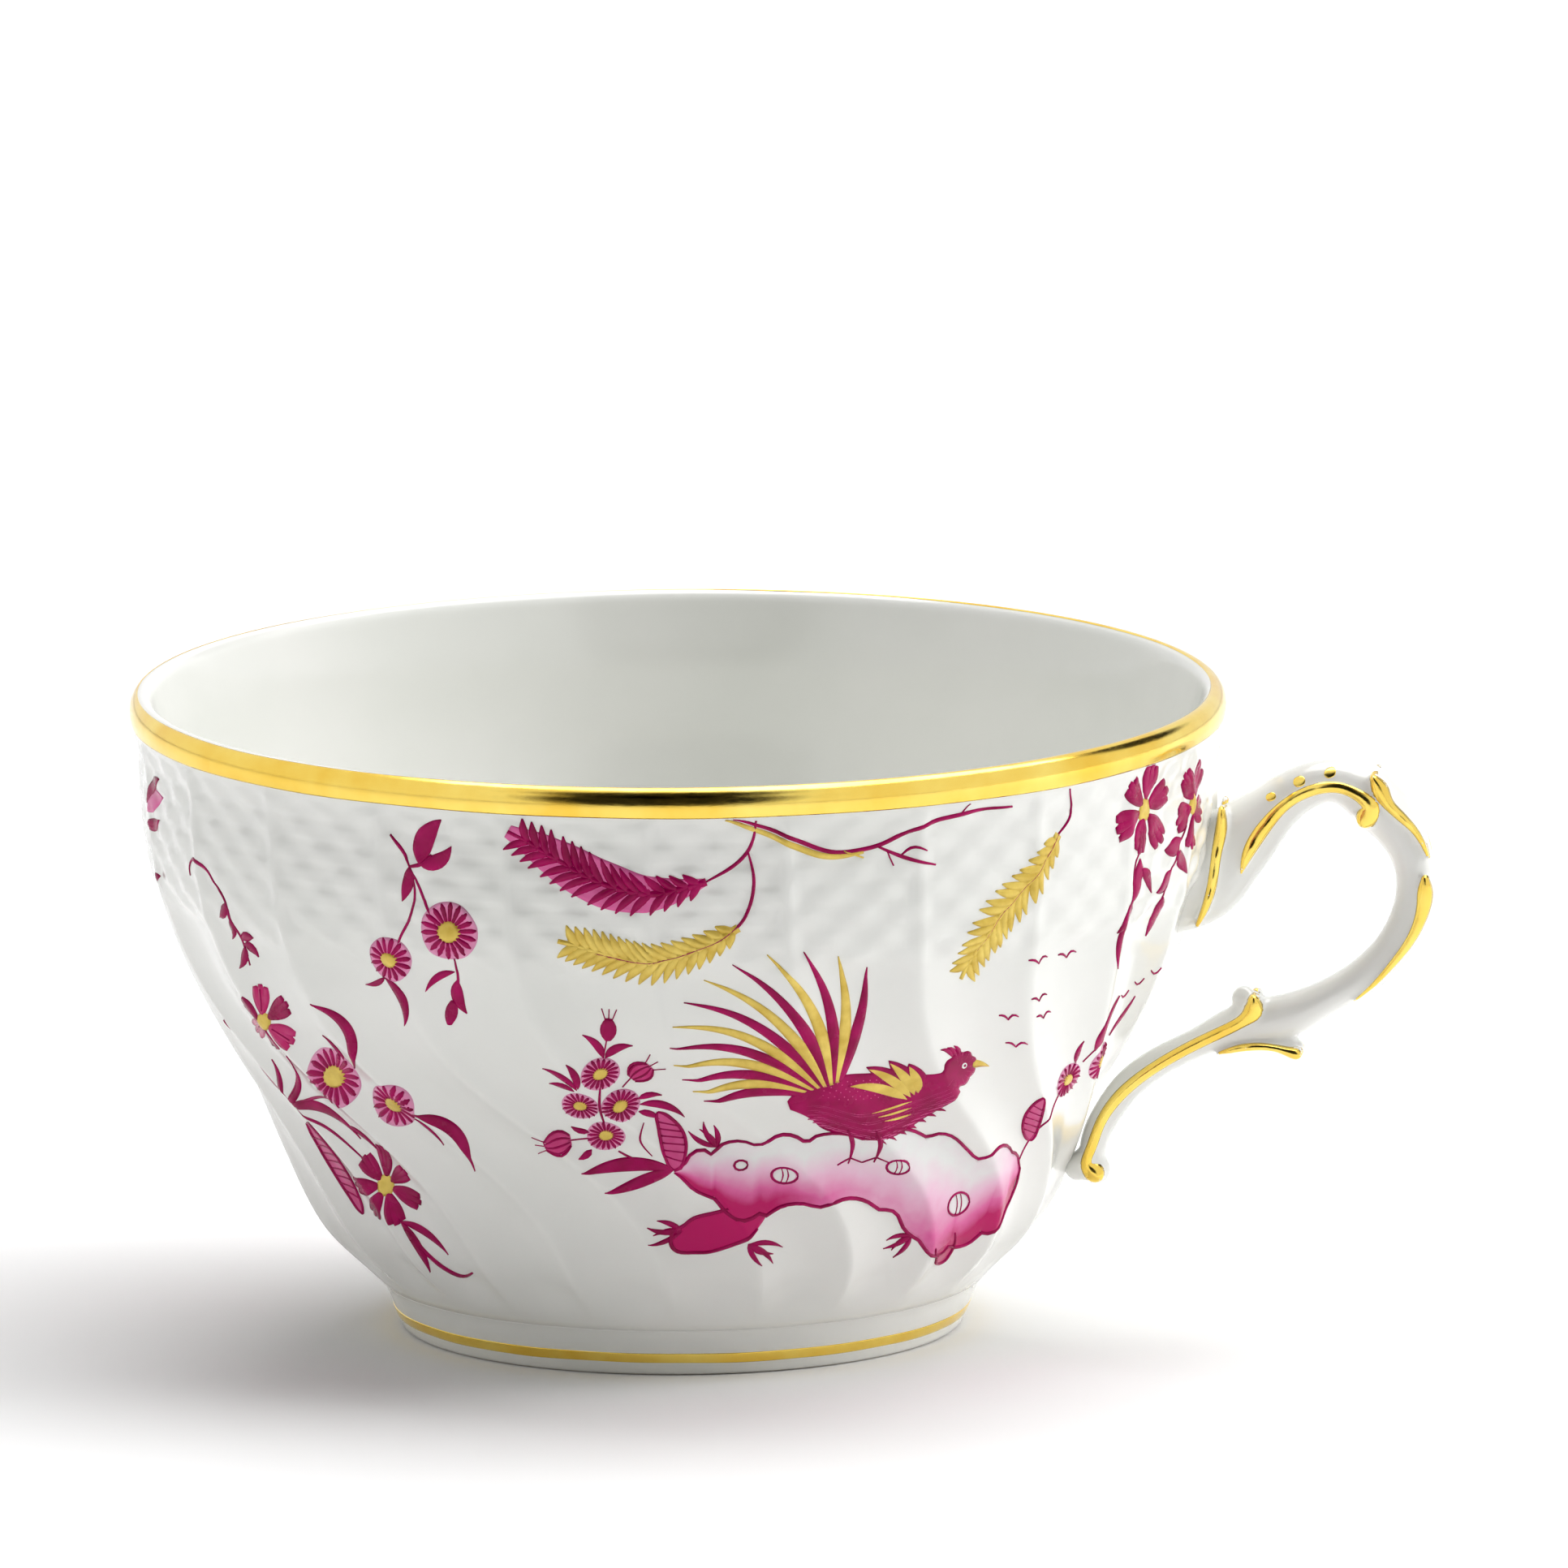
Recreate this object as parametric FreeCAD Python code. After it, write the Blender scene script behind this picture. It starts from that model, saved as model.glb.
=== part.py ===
"""Low porcelain teacup with a scrolled twig handle and gilded edges.

Millimetres. The cup's axis is Z, the foot rests on z = 0 and the handle points along +X.
The bowl, the foot ring and the handle are the clay pieces. The gilding and the enamel are
thin films that lie on them face to face, so each gilded line and each painted group is its
own piece. A bearing is an angle about Z, counted from the handle.
"""

import FreeCAD, Part

import math
import os

# Driving dimensions of the clay
FOOT_HEIGHT = 4.4
FOOT_TOP_RADIUS = 26.6
FOOT_BORE_RADIUS = 21.6
FOOT_LAND = (22.5, 24.1)  # inner and outer radius of the flat ring that the cup stands on
FOOT_CONE = ((24.75, 0.5), (25.75, 3.0))  # (radius, height) at each end of the outer cone
FOOT_LAND_ROUND = (24.54, 0.17)  # midway round the curve from the land to the cone
FOOT_TOP_ROUND = (26.09, 3.73)  # midway round the curve from the cone to the bowl
FOOT_BORE_FLARE = (22.1, 0.4)  # where the bore starts to open out at the bottom
FOOT_BORE_ROUND = (22.25, 0.12)  # midway round the curve from there to the land
WALL_START = (0.6, 0.8)  # direction of the outer wall where it leaves the foot
LIP_HEIGHT = 56.5
LIP_NOSE_RADIUS = 1.05
LIP_NOSE_CENTRE = (46.95, LIP_HEIGHT - LIP_NOSE_RADIUS)
LIP_TANGENT = -12.0  # degrees round the nose, where the outer wall runs into it
LIP_INNER = 168.0  # degrees round the nose, where the inner wall leaves it
LIP_CONE_FOOT = 54.0  # height where the straight cone under the nose begins

# (radius, height) stations of the outer wall from the foot up, and of the inner wall down
OUTER_WALL = ((28.5, 6.3), (31.6, 9.4), (34.4, 14.8), (36.8, 20.6), (40.3, 27.0),
              (43.4, 32.6), (45.6, 38.2), (46.7, 43.0), (47.15, 48.0), (47.35, 51.6))
INNER_WALL = ((45.3, 53.0), (44.7, 48.8), (44.0, 43.6), (42.9, 38.6), (40.8, 33.2),
              (37.6, 27.6), (34.2, 21.5), (31.4, 16.0), (27.8, 11.6), (22.5, 8.9), (14.0, 7.6))
FLOOR_HEIGHT = 7.4

# Gilding
GILDING = 0.1  # film thickness on the lip, the handle and the foot
RIM_SECTORS = 8  # equal sectors that the band on the lip is joined from
RIM_BAND_FOOT = 54.3  # lower edge of the rim band
RIM_BAND_END = 97.0  # degrees round the nose, where the band stops just past the crown
FOOT_LINE = (1.15, 2.1)  # lower and upper edge of the line round the foot

# Handle stations along its centreline: (x, z, half thickness in the plane, half width in Y)
HANDLE = ((44.2, 40.4, 5.6, 3.4), (47.2, 42.0, 4.3, 3.0), (49.6, 43.8, 3.4, 2.6),
          (52.2, 46.2, 2.55, 2.3), (55.2, 48.2, 2.2, 2.3), (58.0, 48.7, 2.1, 2.5),
          (60.9, 47.3, 2.6, 2.9), (63.3, 44.6, 2.3, 2.6), (64.6, 41.2, 1.85, 2.2),
          (64.5, 37.6, 1.85, 2.1), (63.0, 34.2, 1.85, 2.1), (60.3, 31.5, 1.7, 2.0),
          (56.8, 29.4, 1.65, 2.0), (52.8, 27.6, 2.2, 2.1), (49.2, 26.9, 2.0, 2.0),
          (46.0, 25.5, 1.5, 1.8), (42.6, 23.8, 1.4, 1.7), (39.6, 21.6, 1.5, 1.7),
          (37.5, 18.8, 1.4, 1.7), (36.3, 16.0, 1.3, 1.6), (36.2, 14.2, 1.2, 1.5))
# Rounded twig ends: (x, z, radius) at the root and at the tip
THUMB_SPUR = ((50.8, 27.6, 1.6), (49.7, 29.4, 1.15))
BACK_SPUR = ((51.6, 26.2, 1.4), (54.2, 24.7, 0.95))
TAIL_HEEL = ((36.3, 15.2, 1.3), (34.9, 14.2, 1.4))
TAIL_BALL = (36.5, 13.9, 1.5)

# Gilded strokes on the handle: (x, z, half width) stations, painted on both faces
COLLAR = ((47.6, 46.0, 0.35), (47.7, 44.8, 0.7), (47.4, 42.6, 0.65), (47.0, 40.0, 0.55),
          (46.4, 37.7, 0.4), (45.6, 36.0, 0.15))
ARCH = ((49.6, 40.9, 0.08), (50.2, 42.6, 0.5), (51.6, 44.9, 0.62), (53.4, 46.9, 0.5),
        (55.6, 48.2, 0.5), (58.0, 48.6, 0.5), (60.0, 47.9, 0.55), (61.2, 46.7, 0.7))
ARCH_BALL = (60.6, 45.9, 1.0)
KNUCKLE = ((61.3, 49.4, 0.4), (61.7, 48.7, 0.7), (62.4, 47.4, 0.55), (63.6, 46.1, 0.42),
           (64.8, 44.8, 0.3), (65.6, 43.4, 0.2), (66.0, 42.2, 0.08))
BACK = ((65.7, 40.4, 0.35), (65.7, 39.6, 0.62), (65.6, 38.2, 0.65), (65.1, 36.4, 0.5),
        (64.1, 34.5, 0.4), (62.7, 32.7, 0.3), (61.1, 30.9, 0.2), (59.4, 29.4, 0.08))
STRUT = ((50.7, 28.9, 0.7), (50.0, 27.9, 0.6), (48.6, 27.0, 0.5), (46.4, 25.9, 0.5),
         (43.6, 24.4, 0.5), (40.7, 22.5, 0.5), (38.6, 20.6, 0.5), (37.0, 18.2, 0.45),
         (36.1, 15.8, 0.45), (35.9, 14.6, 0.5))
STRUT_BALLS = ((50.7, 29.1, 0.75), (36.4, 13.9, 1.05))
SPUR = ((47.2, 24.5, 0.08), (48.8, 25.0, 0.3), (50.9, 25.3, 0.35), (52.8, 25.1, 0.35),
        (53.8, 24.8, 0.45))
SPUR_BALL = (54.2, 24.7, 0.6)
CREST_DOTS = ((52.3, 47.8, 0.4), (54.7, 49.3, 0.45), (57.3, 50.3, 0.45))
STROKE_GAP = 0.3  # the two faces' strokes stay this far from the handle's middle plane
STROKE_REACH = 6.0

# Painted groups as patches: (bearing, height, half width, half height, tilt in degrees)
ENAMEL = 0.08  # film thickness
PAINTED = {
    "left_spray_enamel": ((-145, 40, 2.0, 5.0, 35), (-142, 31, 3.6, 3.6, 0),
                          (-134, 27, 3.2, 3.2, 0), (-126, 25, 2.6, 2.6, 0),
                          (-149, 17, 1.8, 5.0, 30), (-132, 17, 4.2, 4.2, 0),
                          (-124, 11, 3.6, 1.4, -35)),
    "hanging_spray_enamel": ((-111, 50, 1.8, 3.4, -35), (-118, 40, 2.2, 2.2, 0),
                             (-110, 43, 2.8, 2.8, 0), (-120, 36, 1.2, 2.2, 0),
                             (-111, 36, 1.4, 2.4, 0)),
    "feather_pair_enamel": ((-93, 50, 8.6, 1.9, -16), (-90, 43, 7.4, 1.9, 8)),
    "twig_enamel": ((-70, 51.2, 8.6, 0.6, -14), (-55, 50.0, 7.0, 0.6, 18)),
    "gilt_feather_enamel": ((-46, 43, 1.9, 8.6, -38),),
    "rim_spray_enamel": ((-26, 49, 3.8, 4.2, 0), (-15, 46, 2.6, 3.6, -20),
                         (-27, 41, 1.2, 3.6, -12), (-18, 40, 1.0, 3.0, -12)),
    "distant_birds_enamel": ((-40, 37.8, 1.3, 0.4, 0), (-36, 37.4, 1.3, 0.4, 0),
                             (-39, 34, 1.2, 0.4, 0), (-43, 33, 1.0, 0.4, 0),
                             (-37, 32.3, 1.2, 0.4, 0), (-40, 30, 1.2, 0.4, 0)),
    "bouquet_enamel": ((-93, 34, 1.2, 1.8, 0), (-95, 30, 1.9, 1.9, 0), (-99, 26.8, 1.9, 1.9, 0),
                       (-92, 27, 1.9, 1.9, 0), (-95, 24, 1.9, 1.9, 0), (-88, 30, 1.8, 1.2, 0),
                       (-104, 23, 1.8, 1.3, 0), (-88, 23, 1.4, 2.4, 30), (-94, 20, 3.6, 0.9, 0)),
    "bird_enamel": ((-63, 27, 5.6, 3.4, -10), (-49, 27, 3.2, 2.8, 10), (-71, 36, 4.6, 6.4, 25),
                    (-62, 22, 0.6, 3.0, 0)),
    "rock_enamel": ((-80, 21, 4.2, 2.6, 0), (-70, 20, 5.0, 3.6, 0), (-58, 19, 5.0, 3.4, 0),
                    (-45, 18, 5.4, 4.2, 0), (-36, 17, 4.0, 3.6, 0), (-79, 15, 4.0, 2.2, 0),
                    (-42, 12, 3.0, 3.6, 0)),
    "handle_spray_enamel": ((-22, 28, 1.6, 2.8, 0), (-27, 26, 1.2, 1.4, 0),
                            (-22, 24, 2.4, 2.4, 0), (-29, 21.5, 1.4, 2.4, 20)),
    "back_left_spray_enamel": ((26, 48, 3.2, 3.8, 0), (32, 40, 1.6, 4.4, 20),
                               (30, 28, 3.2, 3.2, 0), (38, 24, 2.8, 2.8, 0),
                               (36, 17, 1.8, 4.0, -30)),
    "back_feather_enamel": ((52, 48, 1.9, 7.4, 50), (66, 50, 7.6, 1.9, 12)),
    "back_bird_enamel": ((85, 27, 5.6, 3.4, 10), (99, 28, 3.2, 2.8, -10), (77, 36, 4.6, 6.4, 25)),
    "back_rock_enamel": ((74, 20, 4.6, 3.0, 0), (84, 20, 5.0, 3.6, 0), (96, 19, 5.0, 3.4, 0),
                         (107, 18, 4.6, 3.8, 0), (76, 14, 3.6, 2.4, 0), (104, 12, 3.0, 3.0, 0)),
    "back_bouquet_enamel": ((128, 33, 1.6, 2.4, 0), (124, 29, 2.4, 2.4, 0),
                            (132, 27, 2.4, 2.4, 0), (127, 23, 2.4, 2.4, 0),
                            (135, 20, 3.4, 1.0, 20), (120, 20, 3.4, 1.0, -20)),
    "back_hanging_spray_enamel": ((112, 50, 3.6, 1.2, 20), (120, 44, 2.8, 2.8, 0),
                                  (113, 41, 2.2, 2.2, 0), (121, 38, 1.4, 2.4, 0)),
    "back_right_spray_enamel": ((160, 46, 1.8, 4.4, -20), (166, 36, 3.4, 3.4, 0),
                                (174, 31, 3.0, 3.0, 0), (160, 24, 1.8, 4.8, 25),
                                (172, 20, 3.4, 3.4, 0), (180, 14, 3.4, 1.2, 35)),
}
PATCH_START = 70.0  # patches are cut inward from this distance off the axis
PATCH_DEPTH = 45.0
SCRAP = 0.002  # a film solid under this volume is a crumb left by trimming

AXIS = FreeCAD.Vector(0, 0, 1)
ORIGIN = FreeCAD.Vector(0, 0, 0)


def rz(point):
    """A (radius, height) pair as a point of the XZ half plane."""
    return FreeCAD.Vector(point[0], 0, point[1])


def nose(degrees, extra=0.0):
    """The (radius, height) of the lip's round nose at an angle, grown outward by extra."""
    angle = math.radians(degrees)
    radius = LIP_NOSE_RADIUS + extra
    return (LIP_NOSE_CENTRE[0] + radius * math.cos(angle),
            LIP_NOSE_CENTRE[1] + radius * math.sin(angle))


def lip_cone(height):
    """The (radius, height) of the straight cone that runs up into the lip's nose."""
    top = nose(LIP_TANGENT)
    lean = math.tan(math.radians(-LIP_TANGENT))
    return (top[0] - (top[1] - height) * lean, height)


def line(start, end):
    return Part.LineSegment(rz(start), rz(end)).toShape()


def arc(start, middle, end):
    return Part.Arc(rz(start), rz(middle), rz(end)).toShape()


def nose_arc(start, end, extra=0.0):
    return arc(nose(start, extra), nose((start + end) / 2, extra), nose(end, extra))


def spline(points, start_tangent=None, end_tangent=None):
    """A smooth edge through the points, with an optional direction at each end."""
    curve = Part.BSplineCurve()
    vectors = [rz(p) for p in points]
    if start_tangent and end_tangent:
        curve.interpolate(Points=vectors, InitialTangent=rz(start_tangent),
                          FinalTangent=rz(end_tangent))
    else:
        curve.interpolate(Points=vectors)
    return curve.toShape()


def revolve(edges):
    """A closed loop of edges in the XZ half plane turned once round the cup's axis."""
    face = Part.Face(Part.Wire(Part.__sortEdges__(edges)))
    return face.revolve(ORIGIN, AXIS, 360)


def revolve_in_sectors(edges, count):
    """A turned solid joined from equal sectors, with their seams left on its faces."""
    face = Part.Face(Part.Wire(Part.__sortEdges__(edges)))
    first = face.revolve(ORIGIN, AXIS, 360 / count)
    others = []
    for index in range(1, count):
        sector = first.copy()
        sector.rotate(ORIGIN, AXIS, 360 * index / count)
        others.append(sector)
    return first.fuse(others).Solids[0]


def outer_wall_edges():
    """The bowl's outside from the top of the foot to the lip's tangent point."""
    start = (FOOT_TOP_RADIUS, FOOT_HEIGHT)
    cone_start = lip_cone(LIP_CONE_FOOT)
    lean = math.radians(-LIP_TANGENT)
    wall = spline((start,) + OUTER_WALL + (cone_start,), WALL_START,
                  (math.sin(lean), math.cos(lean)))
    return [wall, line(cone_start, nose(LIP_TANGENT))]


def bowl():
    """The thrown bowl: wall, round lip and floor, with a flat seat for the foot ring."""
    lip_end = nose(LIP_INNER)
    lean = math.radians(LIP_INNER - 90)
    inside = spline((lip_end,) + INNER_WALL + ((0.0, FLOOR_HEIGHT),),
                    (-math.sin(lean), -math.cos(lean)), (-1.0, 0.0))
    edges = outer_wall_edges()
    edges += [nose_arc(LIP_TANGENT, LIP_INNER), inside,
              line((0.0, FLOOR_HEIGHT), (0.0, FOOT_HEIGHT)),
              line((0.0, FOOT_HEIGHT), (FOOT_TOP_RADIUS, FOOT_HEIGHT))]
    return revolve(edges)


def bowl_envelope():
    """The bowl with its cavity filled, which trims whatever is stuck on the outside."""
    edges = outer_wall_edges()
    top = (0.0, LIP_HEIGHT)
    edges += [nose_arc(LIP_TANGENT, 90.0), line(nose(90.0), top),
              line(top, (0.0, FOOT_HEIGHT)),
              line((0.0, FOOT_HEIGHT), (FOOT_TOP_RADIUS, FOOT_HEIGHT))]
    return revolve(edges)


def foot_ring():
    """The turned ring that the cup stands on, with a flat unglazed land underneath."""
    low, high = FOOT_CONE
    top = (FOOT_TOP_RADIUS, FOOT_HEIGHT)
    bore_top = (FOOT_BORE_RADIUS, FOOT_HEIGHT)
    land_in = (FOOT_LAND[0], 0.0)
    land_out = (FOOT_LAND[1], 0.0)
    edges = [line(land_in, land_out), arc(land_out, FOOT_LAND_ROUND, low), line(low, high),
             arc(high, FOOT_TOP_ROUND, top), line(top, bore_top),
             line(bore_top, FOOT_BORE_FLARE), arc(FOOT_BORE_FLARE, FOOT_BORE_ROUND, land_in)]
    return revolve(edges)


def rim_gilding():
    """The gold band from below the lip up to its crown."""
    inner_foot = lip_cone(RIM_BAND_FOOT)
    lean = math.radians(-LIP_TANGENT)
    outer_foot = (inner_foot[0] + GILDING * math.cos(lean),
                  inner_foot[1] - GILDING * math.sin(lean))
    edges = [line(inner_foot, nose(LIP_TANGENT)), nose_arc(LIP_TANGENT, RIM_BAND_END),
             line(nose(RIM_BAND_END), nose(RIM_BAND_END, GILDING)),
             nose_arc(LIP_TANGENT, RIM_BAND_END, GILDING),
             line(nose(LIP_TANGENT, GILDING), outer_foot), line(outer_foot, inner_foot)]
    return revolve_in_sectors(edges, RIM_SECTORS)


def foot_gilding():
    """The thin gold line round the foot's cone."""
    low, high = FOOT_CONE
    slope = (high[0] - low[0]) / (high[1] - low[1])
    inner = [(low[0] + (height - low[1]) * slope, height) for height in FOOT_LINE]
    outer = [(radius + GILDING, height) for radius, height in inner]
    edges = [line(inner[0], inner[1]), line(inner[1], outer[1]),
             line(outer[1], outer[0]), line(outer[0], inner[0])]
    return revolve(edges)


def directions(stations):
    """The unit direction of travel in the XZ plane at each station of a path."""
    found = []
    for index in range(len(stations)):
        before = stations[max(index - 1, 0)]
        after = stations[min(index + 1, len(stations) - 1)]
        step = FreeCAD.Vector(after[0] - before[0], 0, after[1] - before[1])
        found.append(step.normalize())
    return found


def oval_points(station, direction, extra, count=16):
    """Points round the oval of one station, always starting on the same side."""
    x, z, thick, wide = station
    side = FreeCAD.Vector(-direction.z, 0, direction.x)
    centre = FreeCAD.Vector(x, 0, z)
    points = []
    for index in range(count):
        angle = 2 * math.pi * index / count
        along = side * ((thick + extra) * math.cos(angle))
        points.append(centre + along + FreeCAD.Vector(0, (wide + extra) * math.sin(angle), 0))
    return points


def twig(root, tip, extra):
    """A tapered twig with a round end, from a root circle to a tip ball."""
    start = FreeCAD.Vector(root[0], 0, root[1])
    end = FreeCAD.Vector(tip[0], 0, tip[1])
    reach = end - start
    cone = Part.makeCone(root[2] + extra, tip[2] + extra, reach.Length, start, reach)
    return cone.fuse(Part.makeSphere(tip[2] + extra, end))


def handle_form(extra=0.0):
    """The whole handle before it is trimmed to the wall, grown all over by extra."""
    rings = []
    for station, direction in zip(HANDLE, directions(HANDLE)):
        curve = Part.BSplineCurve()
        curve.interpolate(Points=oval_points(station, direction, extra), PeriodicFlag=True)
        rings.append(Part.Wire([curve.toShape()]))
    form = Part.makeLoft(rings, True, False)
    ball = Part.makeSphere(TAIL_BALL[2] + extra, FreeCAD.Vector(TAIL_BALL[0], 0, TAIL_BALL[1]))
    twigs = [twig(root, tip, extra) for root, tip in (THUMB_SPUR, BACK_SPUR, TAIL_HEEL)]
    return form.fuse([ball] + twigs)


def stroke_outline(stations):
    """A face in the XZ plane: a brush stroke of changing width with round ends."""
    ways = directions(stations)
    left = []
    right = []
    for (x, z, half), way in zip(stations, ways):
        side = FreeCAD.Vector(-way.z, 0, way.x) * half
        left.append(FreeCAD.Vector(x, 0, z) + side)
        right.append(FreeCAD.Vector(x, 0, z) - side)
    start = FreeCAD.Vector(stations[0][0], 0, stations[0][1]) - ways[0] * stations[0][2]
    end = FreeCAD.Vector(stations[-1][0], 0, stations[-1][1]) + ways[-1] * stations[-1][2]
    curve = Part.BSplineCurve()
    curve.interpolate(Points=[start] + left + [end] + right[::-1], PeriodicFlag=True)
    return Part.Face(Part.Wire([curve.toShape()]))


def disc(x, z, radius):
    circle = Part.Circle(FreeCAD.Vector(x, 0, z), FreeCAD.Vector(0, 1, 0), radius)
    return Part.Face(Part.Wire([circle.toShape()]))


def gilded(faces, grown, clay, wall):
    """The gold film under the painted faces, on the front and the back of the handle."""
    films = []
    for side in (-1, 1):
        for face in faces:
            shifted = face.translated(FreeCAD.Vector(0, side * STROKE_GAP, 0))
            prism = shifted.extrude(FreeCAD.Vector(0, side * STROKE_REACH, 0))
            films.append(prism)
    painted = films[0].fuse(films[1:]) if len(films) > 1 else films[0]
    film = painted.common(grown).cut(clay).cut(wall)
    return Part.makeCompound([solid for solid in film.Solids if solid.Volume > SCRAP])


def enamel_skin():
    """The layer of enamel thickness that covers the whole outer wall."""
    start = (FOOT_TOP_RADIUS, FOOT_HEIGHT)
    end = lip_cone(LIP_CONE_FOOT)
    lean = math.radians(-LIP_TANGENT)
    end_way = (math.sin(lean), math.cos(lean))
    inner = (start,) + OUTER_WALL + (end,)
    outer = [(radius + ENAMEL, height) for radius, height in inner]
    edges = [spline(inner, WALL_START, end_way), spline(outer, WALL_START, end_way),
             line(inner[0], outer[0]), line(inner[-1], outer[-1])]
    return revolve(edges)


def patch(bearing, height, half_width, half_height, tilt):
    """A prism with an oval outline that points at the axis from outside the cup."""
    angle = math.radians(bearing)
    outward = FreeCAD.Vector(math.cos(angle), math.sin(angle), 0)
    sideways = FreeCAD.Vector(-math.sin(angle), math.cos(angle), 0)
    lean = math.radians(tilt)
    major = sideways * math.cos(lean) + AXIS * math.sin(lean)
    minor = AXIS * math.cos(lean) - sideways * math.sin(lean)
    centre = outward * PATCH_START + AXIS * height
    if half_width > half_height:
        oval = Part.Ellipse(centre + major * half_width, centre + minor * half_height, centre)
    elif half_width < half_height:
        oval = Part.Ellipse(centre + minor * half_height, centre + major * half_width, centre)
    else:
        oval = Part.Circle(centre, outward, half_width)
    face = Part.Face(Part.Wire([oval.toShape()]))
    return face.extrude(outward * -PATCH_DEPTH)


def painted(patches, skin):
    """One painted group: the part of the enamel skin under its patches."""
    prisms = [patch(*p) for p in patches]
    outline = prisms[0].fuse(prisms[1:]) if len(prisms) > 1 else prisms[0]
    film = outline.common(skin)
    return Part.makeCompound([solid for solid in film.Solids if solid.Volume > SCRAP])


def main():
    os.makedirs("parts", exist_ok=True)
    wall = bowl_envelope()
    form = handle_form()
    grown = handle_form(GILDING)
    handle = form.cut(wall)
    pieces = {
        "bowl": bowl(),
        "foot_ring": foot_ring(),
        "handle": max(handle.Solids, key=lambda solid: solid.Volume),
        "rim_gilding": rim_gilding(),
        "foot_gilding": foot_gilding(),
    }
    strokes = {
        "handle_collar_gilding": [stroke_outline(COLLAR)],
        "handle_arch_gilding": [stroke_outline(ARCH), disc(*ARCH_BALL)],
        "handle_crest_dots": [disc(*dot) for dot in CREST_DOTS],
        "handle_knuckle_gilding": [stroke_outline(KNUCKLE)],
        "handle_back_gilding": [stroke_outline(BACK)],
        "handle_strut_gilding": [stroke_outline(STRUT)] + [disc(*b) for b in STRUT_BALLS],
        "handle_spur_gilding": [stroke_outline(SPUR), disc(*SPUR_BALL)],
    }
    for name, faces in strokes.items():
        pieces[name] = gilded(faces, grown, form, wall)
    skin = enamel_skin()
    for name, patches in PAINTED.items():
        pieces[name] = painted(patches, skin)
        skin = skin.cut(pieces[name])
    for name, shape in pieces.items():
        shape.exportStep("parts/" + name + ".step")
        print(name, "solids", len(shape.Solids), "valid", shape.isValid(),
              "volume", round(shape.Volume, 2))


main()
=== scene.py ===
"""A low porcelain teacup with swirled flutes, a basketweave band, painted flowers and gilding.

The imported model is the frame, in metres. Shapes are worked out in millimetres and scaled when a
mesh is made. A bearing is an angle about Z from the handle (+X). Painted groups are placed by
(theta, z): theta is counted from the middle of the front, or from the turn that takes a group
round to the back, positive to the right.
"""

import math

import bmesh
import bpy
import numpy as np
from mathutils import Matrix, Vector
from mathutils.bvhtree import BVHTree


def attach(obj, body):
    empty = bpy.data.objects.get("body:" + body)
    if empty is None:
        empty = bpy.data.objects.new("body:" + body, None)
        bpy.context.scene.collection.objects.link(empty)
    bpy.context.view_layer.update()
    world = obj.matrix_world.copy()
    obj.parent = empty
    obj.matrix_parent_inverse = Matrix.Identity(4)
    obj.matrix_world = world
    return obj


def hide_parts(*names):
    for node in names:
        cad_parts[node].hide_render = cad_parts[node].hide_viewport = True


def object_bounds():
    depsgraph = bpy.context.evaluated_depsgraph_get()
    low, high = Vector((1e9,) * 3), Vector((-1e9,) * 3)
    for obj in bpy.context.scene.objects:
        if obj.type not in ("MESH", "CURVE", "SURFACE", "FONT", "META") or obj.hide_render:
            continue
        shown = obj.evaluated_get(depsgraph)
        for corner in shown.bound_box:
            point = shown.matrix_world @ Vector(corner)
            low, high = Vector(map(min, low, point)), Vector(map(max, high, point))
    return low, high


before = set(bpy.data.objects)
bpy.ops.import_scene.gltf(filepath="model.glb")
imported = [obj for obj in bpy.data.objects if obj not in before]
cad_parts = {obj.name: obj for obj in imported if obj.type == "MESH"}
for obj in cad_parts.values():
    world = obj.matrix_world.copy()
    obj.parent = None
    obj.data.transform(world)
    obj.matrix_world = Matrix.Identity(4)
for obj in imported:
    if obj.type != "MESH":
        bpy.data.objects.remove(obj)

cad_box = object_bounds()

MM = 0.001
BODY = "root"

# ---------------------------------------------------------------- the cup's profile, millimetres
FOOT_TOP = (26.6, 4.4)
OUTER_WALL = ((28.5, 6.3), (31.6, 9.4), (34.4, 14.8), (36.8, 20.6), (40.3, 27.0), (43.4, 32.6),
              (45.6, 38.2), (46.7, 43.0), (47.15, 48.0), (47.35, 51.6), (47.84, 54.0))
INNER_WALL = ((45.3, 53.0), (44.7, 48.8), (44.0, 43.6), (42.9, 38.6), (40.8, 33.2), (37.6, 27.6),
              (34.2, 21.5), (31.4, 16.0), (27.8, 11.6), (22.5, 8.9), (14.0, 7.6), (6.0, 7.42))
FLOOR_HEIGHT = 7.4
NOSE_CENTRE = (46.95, 54.9)
NOSE_RADIUS = 1.03
NOSE_HEIGHT = 1.58
NOSE_START = -12.0
NOSE_END = 168.0

# Relief: flutes that swirl below a basketweave band
PITCHES = 24
PITCH = 360 / PITCHES
RIDGE_BEARING = -73.5
TWIST = 33.0
TWIST_HEIGHT = 22.5
TWIST_SPREAD = 4.6
RIDGE_SOFTNESS = 0.06  # share of half a pitch over which a ridge's crest is rounded
FLUTE_DEPTH = 0.85
WEAVE_FLUTE_DEPTH = 0.12  # what is left of the flutes inside the weave
WEAVE = (39.5, 53.6)
WEAVE_ROWS = 7
WEAVE_CELLS = 5
PILLOW_HEIGHT = 0.13
STAKE_HEIGHT = 0.2
SEAM_DEPTH = 0.07
BORDER_HEIGHT = 0.05
FRONT_BEARING = -85.0


def smoothstep(low, high, x):
    t = np.clip((x - low) / (high - low), 0, 1)
    return t * t * (3 - 2 * t)


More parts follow.
